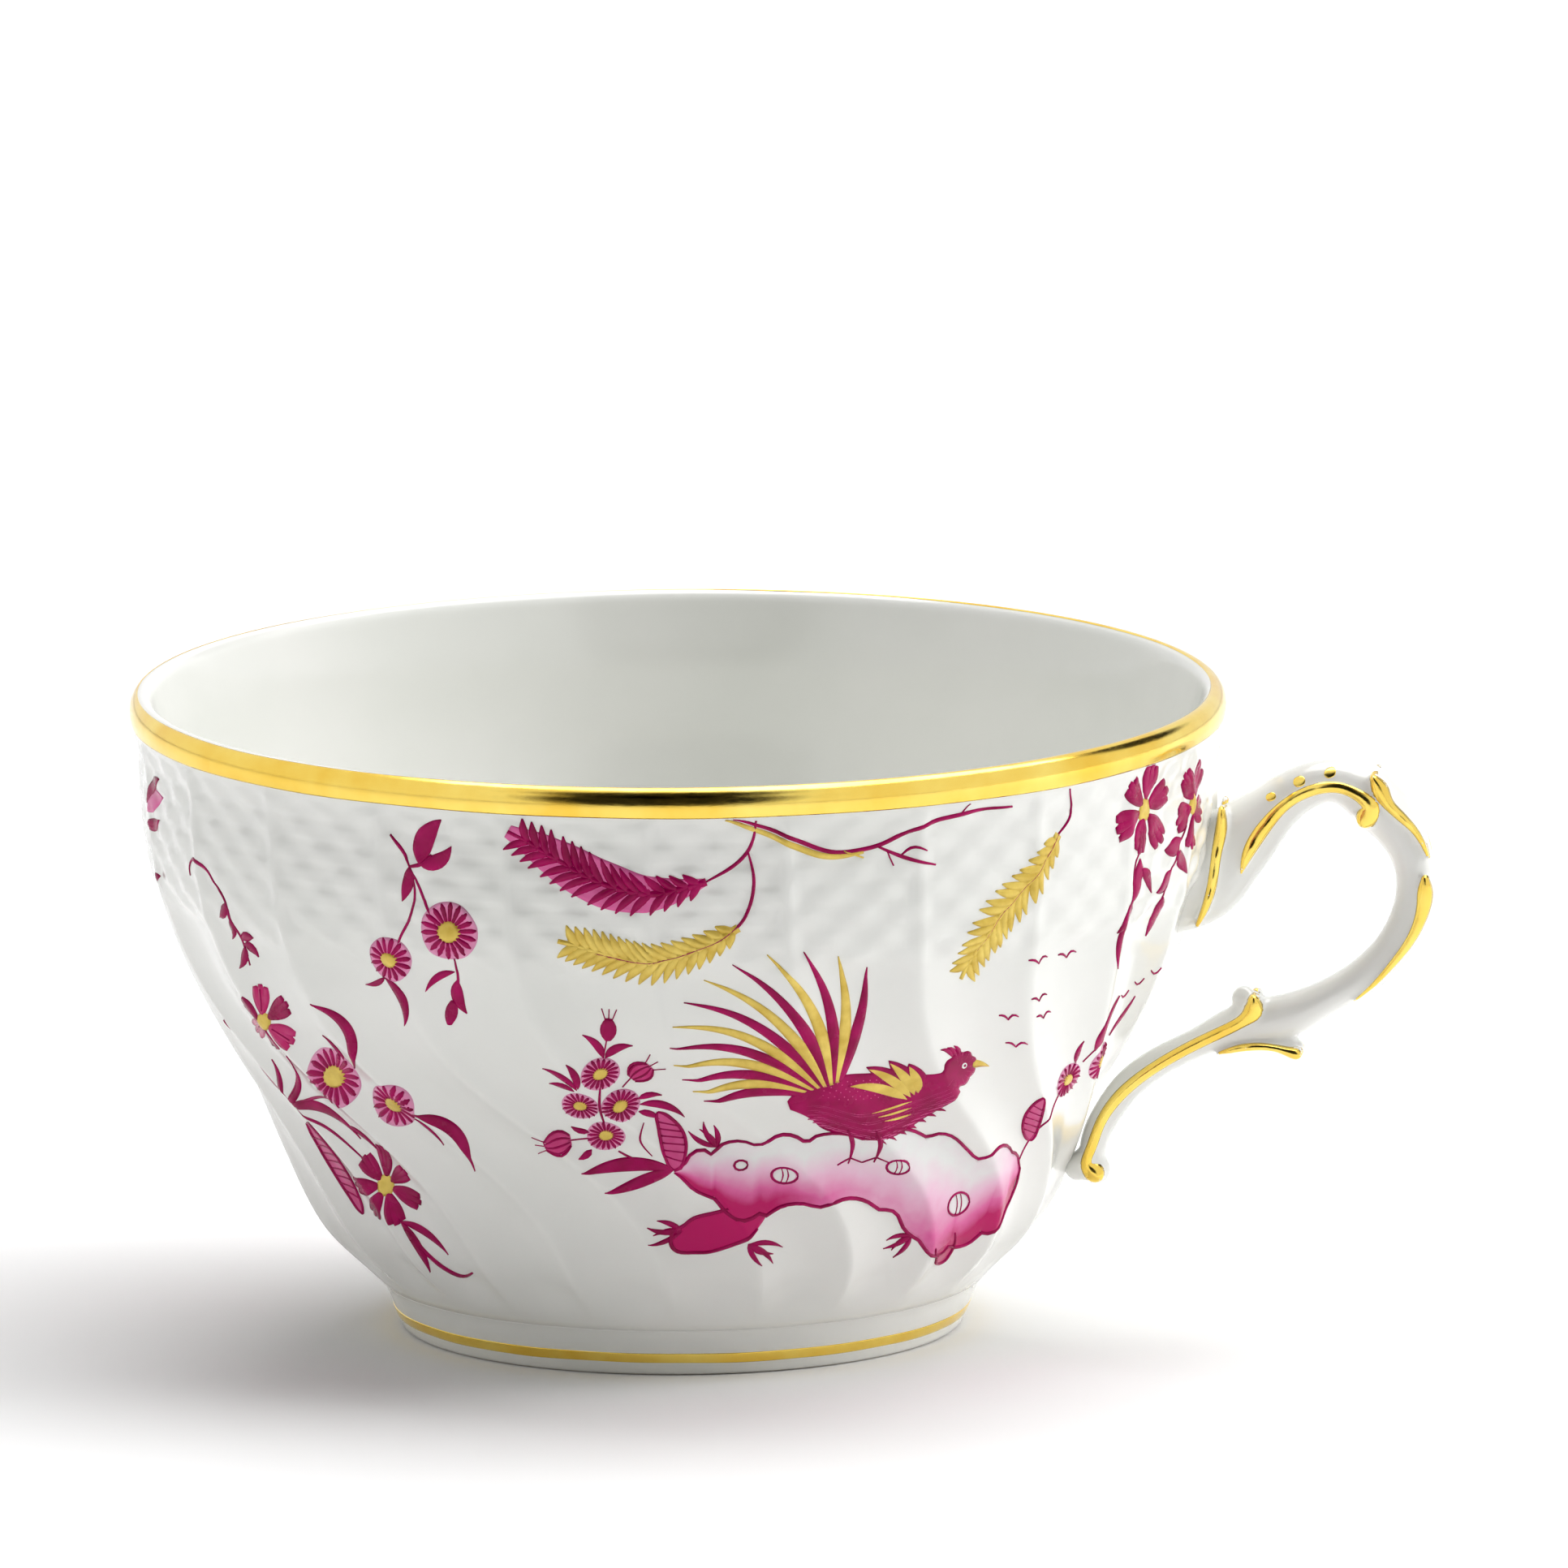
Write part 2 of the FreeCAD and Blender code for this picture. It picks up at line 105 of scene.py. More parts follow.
def natural_spline(t, y, at):
    """A natural cubic spline through (t, y), read at the given places."""
    t, y, at = (np.asarray(v, float) for v in (t, y, at))
    n = len(t)
    h = np.diff(t)
    a = np.eye(n)
    b = np.zeros((n,) + y.shape[1:])
    for i in range(1, n - 1):
        a[i, i - 1:i + 2] = h[i - 1], 2 * (h[i - 1] + h[i]), h[i]
        b[i] = 6 * ((y[i + 1] - y[i]) / h[i] - (y[i] - y[i - 1]) / h[i - 1])
    m = np.linalg.solve(a, b)
    k = np.clip(np.searchsorted(t, at) - 1, 0, n - 2)
    w, hk = ((at - t[k]) / h[k])[:, None], h[k][:, None]
    bend = ((1 - w) ** 3 - (1 - w)) * m[k] + (w ** 3 - w) * m[k + 1]
    return (1 - w) * y[k] + w * y[k + 1] + hk ** 2 / 6 * bend


def run_along(points):
    """How far along a path each of its points lies."""
    return np.concatenate([[0], np.cumsum(np.linalg.norm(np.diff(points[:, :2], axis=0), axis=1))])


def headings(path):
    """Unit directions along a path."""
    way = np.gradient(path, axis=0)
    return way / np.linalg.norm(way, axis=1)[:, None]


def left_of(way):
    """Plane directions turned a quarter to the left."""
    return np.stack([-way[..., 1], way[..., 0]], -1)


def heading(angle):
    return np.array([math.cos(angle), math.sin(angle)])


def ring(radius, bearing, height):
    """Points round Z at the given bearings; radius and height may vary with the bearing."""
    angle = np.radians(bearing)
    return np.stack([radius * np.cos(angle), radius * np.sin(angle), height + 0 * angle], -1)


def smooth_path(points, count):
    """count points evenly along a smooth curve through the given ones; extra columns ride along."""
    points = np.asarray(points, float)
    if len(points) == 2:
        return points[0] + (points[1] - points[0]) * np.linspace(0, 1, count)[:, None]
    t = run_along(points)
    fine = natural_spline(t, points, np.linspace(0, t[-1], count * 4))
    run = run_along(fine)
    at = np.linspace(0, run[-1], count)
    return np.stack([np.interp(at, run, fine[:, c]) for c in range(points.shape[1])], 1)


def nose(degrees, extra=0.0):
    """The oval nose of the lip, by angle from straight out."""
    angle = np.radians(degrees)
    return np.stack([NOSE_CENTRE[0] + (NOSE_RADIUS + extra) * np.cos(angle),
                     NOSE_CENTRE[1] + (NOSE_HEIGHT + extra) * np.sin(angle)], -1)


WALL = smooth_path((FOOT_TOP,) + OUTER_WALL + (tuple(nose(NOSE_START)),), 1500)
WALL_RUN = run_along(WALL)


def wall_radius(z):
    """The plain profile's radius at a height."""
    return np.interp(z, WALL[:, 1], WALL[:, 0])


def twist(z):
    """Degrees that a ridge has turned at a height, against its place under the lip."""
    return TWIST / (1 + np.exp((z - TWIST_HEIGHT) / TWIST_SPREAD))


def relief(bearing, z):
    """How far the glazed wall stands out of its plain profile."""
    phase = (bearing - RIDGE_BEARING - twist(z)) / PITCH
    across = phase - np.floor(phase)
    from_ridge = 2 * np.minimum(across, 1 - across)
    t = np.sqrt(from_ridge ** 2 + RIDGE_SOFTNESS ** 2) - RIDGE_SOFTNESS
    flute = -(1 - (1 - np.clip(t, 0, 1)) ** 2)
    lower = 1 - smoothstep(WEAVE[0] - 1.2, WEAVE[0] + 2.2, z)
    fade = smoothstep(5.2, 8.5, z) * (1 - smoothstep(WEAVE[1] - 0.4, WEAVE[1] + 0.4, z))
    out = flute * (FLUTE_DEPTH * lower + WEAVE_FLUTE_DEPTH * (1 - lower)) * fade
    # basketweave: raised stakes on the ridges, and pillows that go over and under between them
    row = (z - WEAVE[0]) / (WEAVE[1] - WEAVE[0]) * WEAVE_ROWS
    in_weave = smoothstep(-0.25, 0.35, row) * (1 - smoothstep(WEAVE_ROWS - 0.35, WEAVE_ROWS + 0.1, row))
    cell = phase * WEAVE_CELLS
    over = np.sin(np.pi * cell) * np.sin(np.pi * row)
    stake = np.exp(-(from_ridge / 0.11) ** 2)
    seam = -SEAM_DEPTH * np.exp(-((row - np.round(row)) / 0.13) ** 2)
    pillow = PILLOW_HEIGHT * over * (1 - 0.6 * stake)
    out = out + in_weave * (pillow + STAKE_HEIGHT * stake + seam * (1 - stake))
    return out + BORDER_HEIGHT * np.exp(-((z - WEAVE[0]) / 0.35) ** 2)


def wall_point(bearing, z, out=0.0):
    """A point of the glazed outside, in millimetres, moved out along the profile's normal."""
    bearing, z, out = np.broadcast_arrays(np.asarray(bearing, float), z, out)
    slope = (wall_radius(z + 0.2) - wall_radius(z - 0.2)) / 0.4
    length = np.sqrt(1 + slope ** 2)
    push = relief(bearing, z) + out
    radius = wall_radius(z) + push / length
    height = z - push * slope / length
    return ring(radius, bearing, height)


# ---------------------------------------------------------------- meshes
def add_mesh(name, points, faces, materials, slot, face_material=None, tone=None):
    """A smooth-shaded piece from millimetre points, which rides on the cup in place of its node."""
    mesh = bpy.data.meshes.new(name)
    mesh.from_pydata((np.asarray(points) * MM).tolist(), [], faces)
    for material in materials:
        mesh.materials.append(material)
    mesh.polygons.foreach_set("use_smooth", [True] * len(mesh.polygons))
    if face_material is not None:
        mesh.polygons.foreach_set("material_index", face_material)
    if tone is not None:
        attribute = mesh.attributes.new("tone", "FLOAT", "POINT")
        attribute.data.foreach_set("value", np.asarray(tone, np.float32))
    mesh.update()
    face_outwards(mesh)
    piece = bpy.data.objects.new(name, mesh)
    bpy.context.scene.collection.objects.link(piece)
    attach(piece, BODY)
    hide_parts(name)


def face_outwards(mesh):
    """Turns every closed shell of a mesh so that its faces point outwards."""
    shells = bmesh.new()
    shells.from_mesh(mesh)
    bmesh.ops.recalc_face_normals(shells, faces=shells.faces)
    shells.to_mesh(mesh)
    shells.free()


def ring_faces(rows, columns, closed_rows=False):
    """Quads of a grid whose columns go all the way round."""
    faces = []
    last = rows if closed_rows else rows - 1
    for r in range(last):
        a, b = r * columns, (r + 1) % rows * columns
        for c in range(columns):
            d = (c + 1) % columns
            faces.append((a + c, a + d, b + d, b + c))
    return faces


def revolve(profile, columns, wobble=None):
    """Points of a closed (radius, height) profile turned round Z."""
    bearing = np.arange(columns) * 360 / columns
    rows = []
    for index, (radius, height) in enumerate(profile):
        lift = wobble(index, bearing) if wobble else 0.0
        rows.append(ring(radius, bearing, height + lift))
    return np.concatenate(rows)


def capped(rings):
    """Points and faces of a closed tube through rings of equal counts."""
    count, last = len(rings[0]), (len(rings) - 1) * len(rings[0])
    faces = ring_faces(len(rings), count)
    faces += [tuple(range(count))[::-1], tuple(range(last, last + count))]
    return np.concatenate(rings), faces


BOWL_COLUMNS = 600
LOWER_STEP = 0.85
WEAVE_STEP = 0.33


def bowl():
    """The moulded bowl: fluted and woven outside, round lip, plain inside and a domed seat."""
    columns = np.arange(BOWL_COLUMNS) * 360 / BOWL_COLUMNS + RIDGE_BEARING
    low_count = round(np.interp(WEAVE[0], WALL[:, 1], WALL_RUN) / LOWER_STEP)
    run = np.linspace(0, np.interp(WEAVE[0] - 0.5, WALL[:, 1], WALL_RUN), low_count)
    low = np.interp(run, WALL_RUN, WALL[:, 1])
    band = np.arange(WEAVE[0] - 0.5 + WEAVE_STEP, WEAVE[1] + 0.6, WEAVE_STEP)
    tip = nose(NOSE_START)[1]
    heights = np.concatenate([low, band, np.linspace(band[-1] + 0.35, tip, 3)])
    rows = [wall_point(columns + twist(z), z) for z in heights]
    plain = [tuple(nose(a)) for a in np.linspace(NOSE_START, NOSE_END, 14)[1:]]
    inside = smooth_path((plain[-1],) + INNER_WALL, 34)[1:]
    plain += [tuple(p) for p in inside] + [(3.0, FLOOR_HEIGHT), (1.0, FLOOR_HEIGHT)]
    under = [(1.0, 4.95), (6.0, 4.93), (13.0, 4.8), (19.0, 4.55), (21.9, 4.32), (25.6, 4.25)]
    rows += [ring(radius, columns + twist(tip), height) for radius, height in plain + under]
    # the floor and the seat are closed by fans, so no quads join their innermost rings
    inner_end = len(rows) - len(under) - 1
    floor_ring, under_ring = inner_end * BOWL_COLUMNS, (inner_end + 1) * BOWL_COLUMNS
    faces = ring_faces(len(rows), BOWL_COLUMNS, True)
    del faces[floor_ring:under_ring]
    centre = len(rows) * BOWL_COLUMNS
    points = np.concatenate(rows + [[(0, 0, FLOOR_HEIGHT), (0, 0, under[0][1])]])
    for c in range(BOWL_COLUMNS):
        d = (c + 1) % BOWL_COLUMNS
        faces.append((floor_ring + c, floor_ring + d, centre))
        faces.append((under_ring + d, under_ring + c, centre + 1))
    add_mesh("bowl", points, faces, [glaze("bowl_glaze")], "bowl_glaze")


def foot_ring():
    """The turned foot: glazed sides, a shallow groove at the top and a bare land underneath."""
    side = smooth_path(((24.1, 0.0), (24.54, 0.17), (24.75, 0.5), (25.25, 1.75), (25.75, 3.0),
                        (26.0, 3.6), (26.25, 4.02), (26.58, 4.4)), 22)
    top = [(26.3, 4.52), (25.2, 4.75), (22.6, 4.75), (21.75, 4.6)]
    bore = smooth_path(((21.6, 4.25), (21.62, 2.4), (22.1, 0.4), (22.25, 0.12), (22.5, 0.0)), 12)
    land = [(22.9, 0.0), (23.3, 0.0), (23.7, 0.0)]
    profile = [tuple(p) for p in side] + top + [tuple(p) for p in bore] + land
    columns = 288
    faces = ring_faces(len(profile), columns, True)
    bare = []
    for r in range(len(profile)):
        low = max(profile[r][1], profile[(r + 1) % len(profile)][1]) < 0.2
        bare += [1 if low else 0] * columns
    add_mesh("foot_ring", revolve(profile, columns), faces, [glaze("foot_glaze"), bare_clay()],
             "foot_glaze", bare)


def waver(bearing, size, seed):
    """A slow hand wobble round the cup, the same on every run."""
    a = np.radians(bearing)
    return size * (np.sin(3 * a + seed) + 0.6 * np.sin(7 * a + 2.1 * seed)
                   + 0.4 * np.sin(17 * a + 3.3 * seed)) / 2


def rim_gilding():
    """Burnished gold over the lip, whose hand-drawn upper edge reaches further on the right."""
    film, sunk, columns = 0.05, 0.25, 480
    low = 53.95
    start = nose(NOSE_START)[1]
    bearing = np.arange(columns) * 360 / columns
    turned = (bearing + 180) % 360 - 180
    reach = smoothstep(-150, -60, turned) * (1 - smoothstep(84, 104, turned))
    end = 70 + 32 * reach + waver(bearing, 4.0, 0.7)
    edge = waver(bearing, 0.09, 1.3)
    rows = []
    for share in np.linspace(0, 1, 5):
        z = low + (start - low) * share + edge * (1 - share)
        rows.append((wall_radius(z) + film, z))
    for share in np.linspace(0, 1, 16)[1:]:
        rows.append(nose(NOSE_START + (end - NOSE_START) * share, film).T)
    for share in np.linspace(1, 0, 10):
        rows.append(nose(NOSE_START + (end + 3 - NOSE_START) * share, -sunk).T)
    for share in (0.65, 0.3, 0.0):
        z = low + 0.1 + (start - low - 0.1) * share + edge
        rows.append((wall_radius(z) - sunk, z))
    points = np.concatenate([ring(radius, bearing, z) for radius, z in rows])
    add_mesh("rim_gilding", points, ring_faces(len(rows), columns, True),
             [burnished_gold("rim_gold")], "rim_gold")


def foot_gilding():
    """A thin hand-drawn gold line round the foot's cone."""
    def cone(z):
        return 24.75 + (z - 0.5) * 0.4

    low, high = 1.15, 2.1
    profile = [(cone(z) + out, z) for z, out in
               ((low, 0.0), (low + 0.06, 0.045), (low + 0.3, 0.06), ((low + high) / 2, 0.06),
                (high - 0.3, 0.06), (high - 0.06, 0.045), (high, 0.0), (high - 0.1, -0.2),
                (low + 0.1, -0.2))]

    def wobble(index, bearing):
        return waver(bearing, 0.07, 0.4) if index < 7 else 0.0

    columns = 360
    add_mesh("foot_gilding", revolve(profile, columns, wobble), ring_faces(len(profile), columns, True),
             [burnished_gold("foot_gold")], "foot_gold")


# ---------------------------------------------------------------- the handle, millimetres
HANDLE = ((41.8, 40.6, 5.6, 3.7), (44.2, 40.7, 5.5, 3.5), (46.0, 41.1, 4.9, 3.2),
          (47.7, 42.2, 4.0, 2.8), (49.6, 43.8, 3.3, 2.5), (52.2, 46.2, 2.4, 2.2), (55.2, 48.2, 2.0, 2.2),
          (58.0, 48.7, 1.95, 2.4), (60.9, 47.3, 2.5, 2.7), (63.3, 44.6, 2.2, 2.4),
          (64.6, 41.2, 1.75, 2.0), (64.5, 37.6, 1.75, 1.9), (63.0, 34.2, 1.75, 1.9),
          (60.3, 31.5, 1.6, 1.9), (56.8, 29.4, 1.55, 1.9), (52.8, 27.6, 2.0, 1.95),
          (49.2, 26.9, 1.8, 1.85), (46.0, 25.5, 1.35, 1.65), (42.6, 23.8, 1.3, 1.6),
          (39.6, 21.6, 1.35, 1.6), (37.5, 18.8, 1.3, 1.6), (36.3, 16.0, 1.2, 1.5),
          (36.2, 14.4, 1.1, 1.4))
TWIGS = (((50.8, 27.6, 1.5), (49.6, 29.3, 1.1)), ((51.8, 26.3, 1.3), (54.1, 24.8, 0.85)),
         ((36.3, 15.2, 1.2), (35.0, 14.1, 1.3)), ((59.6, 47.0, 1.1), (60.5, 45.9, 1.15)),
         ((61.6, 48.6, 1.2), (60.8, 49.7, 0.75)))
BALLS = ((36.5, 13.9, 1.35), (61.6, 45.2, 1.25))
STROKES = {
    "handle_collar_gilding": ((47.9, 46.6, 0.3), (47.9, 45.2, 0.5), (47.5, 42.8, 0.45),
                              (47.1, 40.0, 0.42), (46.4, 37.7, 0.32), (45.6, 36.0, 0.12)),
    "handle_arch_gilding": ((49.6, 40.9, 0.08), (50.2, 42.6, 0.5), (51.6, 44.9, 0.62),
                            (53.4, 46.9, 0.5), (55.6, 48.2, 0.5), (58.0, 48.6, 0.5),
                            (60.0, 47.9, 0.55), (61.0, 46.8, 0.8), (60.6, 45.9, 0.95)),
    "handle_knuckle_gilding": ((61.3, 49.4, 0.4), (61.7, 48.7, 0.7), (62.4, 47.4, 0.55),
                               (63.6, 46.1, 0.42), (64.8, 44.8, 0.3), (65.6, 43.4, 0.2),
                               (66.0, 42.2, 0.08)),
    "handle_back_gilding": ((65.7, 40.4, 0.35), (65.7, 39.6, 0.62), (65.6, 38.2, 0.65),
                            (65.1, 36.4, 0.5), (64.1, 34.5, 0.4), (62.7, 32.7, 0.3),
                            (61.1, 30.9, 0.2), (59.4, 29.4, 0.08)),
    "handle_strut_gilding": ((50.6, 29.3, 0.6), (50.6, 28.7, 0.85), (50.0, 27.9, 0.65),
                             (48.6, 27.0, 0.5), (46.4, 25.9, 0.5), (43.6, 24.4, 0.5),
                             (40.7, 22.5, 0.5), (38.6, 20.6, 0.5), (37.0, 18.2, 0.45),
                             (36.1, 15.8, 0.45), (35.8, 14.5, 0.55), (36.4, 13.8, 0.95)),
    "handle_spur_gilding": ((47.2, 24.5, 0.08), (48.8, 25.0, 0.3), (50.9, 25.3, 0.35),
                            (52.8, 25.1, 0.35), (53.8, 24.8, 0.5), (54.2, 24.7, 0.6)),
}
STROKE_FILM = 0.045
DOT_FILM = 0.04
FILM_ROOT = 0.08  # how far a gilded film reaches under the handle's surface
CREST_DOTS = ((52.2, 47.6, 0.34), (54.7, 49.0, 0.42), (57.4, 49.8, 0.4))
HANDLE_VOXEL = 0.24


def tube(points, radii_a, radii_b, count=24):
    """A closed tube of oval rings along points in the XZ plane; radii_b run along Y."""
    angle = np.linspace(0, 2 * np.pi, count, endpoint=False)
    rings = []
    for (x, z), (dx, dz), a, b in zip(points, headings(points), radii_a, radii_b):
        rings.append(np.stack([x - dz * a * np.cos(angle), b * np.sin(angle),
                               z + dx * a * np.cos(angle)], 1))
    return capped(rings)


def ball(centre, radius):
    """Points and faces of a ball."""
    mesh = bmesh.new()
    bmesh.ops.create_icosphere(mesh, subdivisions=3, radius=radius,
                               matrix=Matrix.Translation(Vector(centre)))
    vertices = np.array([v.co[:] for v in mesh.verts])
    faces = [tuple(v.index for v in f.verts) for f in mesh.faces]
    mesh.free()
    return vertices, faces


def round_ended(path):
    """A path of (x, z, half width) rows with a half-round tip added at each end."""
    ends = []
    for end, before in ((path[0], path[1]), (path[-1], path[-2])):
        way = (end - before)[:2] / np.linalg.norm((end - before)[:2])
        ends.append([(*(end[:2] + way * end[2] * math.cos(a)), end[2] * math.sin(a))
                     for a in np.radians((68, 46, 27, 12, 2))])
    return np.concatenate([ends[0][::-1], path, ends[1]])


def stroke_ridge(stations, side):
    """The raised bead of clay that a gilded stroke lies on."""
    path = round_ended(smooth_path(stations, 40))
    centreline = np.array([s[:2] for s in HANDLE])
    widths = np.array([s[3] for s in HANDLE])
    parts = []
    for x, z, half in path:
        near = np.argsort(np.hypot(*(centreline - (x, z)).T))[:2]
        distance = np.hypot(*(centreline[near] - (x, z)).T) + 0.01
        width = np.average(widths[near], weights=1 / distance)
        parts.append((x, side * (width - 0.62 * half - 0.35), z, half))
    rings, count = [], 14
    points = np.array([p[:3] for p in parts])
    angle = np.linspace(0, 2 * np.pi, count, endpoint=False)
    out = np.array([0.0, float(side), 0.0])
    for centre, direction, (_, _, _, half) in zip(points, headings(points), parts):
        across = np.cross(direction, out)
        across /= np.linalg.norm(across)
        rings.append(centre + np.outer(np.cos(angle), across) * half * 1.15
                     + np.outer(np.sin(angle), out) * min(1.0, half / 0.25) * (0.7 + 0.7 * half))
    return capped(rings)


def handle():
    """The cast handle: twigs, knuckles and ridges melted into one clay body, and its surface tree."""
    path = smooth_path(HANDLE, 150)
    lumps = [tube(path[:, :2], path[:, 2], path[:, 3])]
    for root, tip in TWIGS:
        run = smooth_path((root, tip), 8)
        lumps += [tube(run[:, :2], run[:, 2], run[:, 2]), ball((tip[0], 0, tip[1]), tip[2])]
    lumps += [ball((x, 0, z), radius) for x, z, radius in BALLS]
    for stations in STROKES.values():
        lumps += [stroke_ridge(stations, side) for side in (-1, 1)]
    points, faces = join(lumps)
    rough = bpy.data.meshes.new("rough")
    rough.from_pydata(points.tolist(), [], faces)
    shaped = bpy.data.objects.new("rough", rough)
    bpy.context.scene.collection.objects.link(shaped)
    remesh = shaped.modifiers.new("melt", "REMESH")
    remesh.mode = "VOXEL"
    remesh.voxel_size = HANDLE_VOXEL
    relax = shaped.modifiers.new("relax", "SMOOTH")
    relax.iterations = 6
    relax.factor = 0.5
    bpy.context.view_layer.update()
    done = shaped.evaluated_get(bpy.context.evaluated_depsgraph_get()).to_mesh()
    co = np.zeros(len(done.vertices) * 3)
    done.vertices.foreach_get("co", co)
    vertices = co.reshape(-1, 3)
    quads = [tuple(p.vertices) for p in done.polygons]
    bpy.data.objects.remove(shaped)
    # what would reach through the wall is drawn back to just under the glaze
    radius = np.hypot(vertices[:, 0], vertices[:, 1])
    depth = 1.3
    limit = wall_radius(vertices[:, 2]) - depth
    vertices[:, :2] *= np.maximum(limit / np.maximum(radius, 1e-6), 1.0)[:, None]
    add_mesh("handle", vertices, quads, [glaze("handle_glaze")], "handle_glaze")
    return BVHTree.FromPolygons(vertices.tolist(), quads)


def on_handle(tree, x, z, side, out):
    """The handle's surface beside (x, z) on one face, moved out along its normal."""
    hit, normal, _, _ = tree.ray_cast(Vector((x, side * 9.0, z)), Vector((0, -side, 0)), 9.0)
    if hit is None:
        hit, normal, _, _ = tree.find_nearest(Vector((x, side * 0.5, z)))
    if normal.y * side < -0.2:
        normal = -normal
    return np.array(hit) + np.array(normal) * out


def handle_stroke(tree, stations, side, out):
    """A gilded stroke laid on one face of the handle, as a closed film."""
    stations = np.asarray(stations, float)
    rows = round_ended(smooth_path(stations, max(3, int(run_along(stations)[-1] / 0.28))))
    lanes = np.linspace(-1, 1, 9)
    top, bottom = [], []
    for (x, z, half), (dx, dz) in zip(rows, headings(rows[:, :2])):
        for lane in lanes:
            px, pz = x - dz * half * lane, z + dx * half * lane
            edge = 1 - abs(lane) ** 4
            top.append(on_handle(tree, px, pz, side, out * (0.3 + 0.7 * edge)))
            bottom.append(on_handle(tree, px, pz, side, -FILM_ROOT))
    return shell(np.array(top), np.array(bottom), len(rows), len(lanes))


def shell(top, bottom, rows, columns):
    """A closed film from matching top and bottom grids."""
    points = np.concatenate([top, bottom])
    faces, size = [], rows * columns
    for r in range(rows - 1):
        for c in range(columns - 1):
            a = r * columns + c
            b = a + columns
            faces.append((a, a + 1, b + 1, b))
            faces.append((size + a, size + b, size + b + 1, size + a + 1))
    border = list(range(columns))
    border += [r * columns + columns - 1 for r in range(1, rows)]
    border += [(rows - 1) * columns + c for c in range(columns - 2, -1, -1)]
    border += [r * columns for r in range(rows - 2, 0, -1)]
    for a, b in zip(border, border[1:] + border[:1]):
        faces.append((b, a, size + a, size + b))
    return points, faces


def join(parts):
    """Points and faces of several meshes as one."""
    points, faces, start = [], [], 0
    for vertices, quads in parts:
        points.append(vertices)
        faces += [tuple(i + start for i in f) for f in quads]
        start += len(vertices)
    return np.concatenate(points), faces


def handle_gilding(tree):
    """The gilded strokes and dots, on both faces of the handle."""
    gold, sides = burnished_gold("handle_gold"), (-1, 1)
    for name, stations in STROKES.items():
        parts = [handle_stroke(tree, stations, side, STROKE_FILM) for side in sides]
        add_mesh(name, *join(parts), [gold], "handle_gold")
    dashes = [((x - 0.12, z - 0.05, radius), (x + 0.12, z + 0.05, radius)) for x, z, radius in CREST_DOTS]
    parts = [handle_stroke(tree, dash, side, DOT_FILM) for dash in dashes for side in sides]
    add_mesh("handle_crest_dots", *join(parts), [gold], "handle_gold")


# ---------------------------------------------------------------- painting
MAGENTA, WASH, GOLD = 0, 1, 2
LEVEL = (0.095, 0.068, 0.12)  # heights of magenta, wash and gold above the glaze
OVER = 0.09  # how much higher a mark lies that is painted on top of a wash
MARK_GRID = 0.32  # how far apart a brush stroke's points lie
PAINT_ROOT = 0.06  # how far a painted film reaches under the glaze
PAINT_TOP = 53.5  # brush marks are squeezed short above this height, under the gold band's edge


def oval(centre, radius, squash, tilt, angle):
    """The point of a tilted oval at an angle."""
    x, y = radius * math.cos(angle), radius * squash * math.sin(angle)
    return (centre[0] + x * math.cos(tilt) - y * math.sin(tilt),
            centre[1] + x * math.sin(tilt) + y * math.cos(tilt))


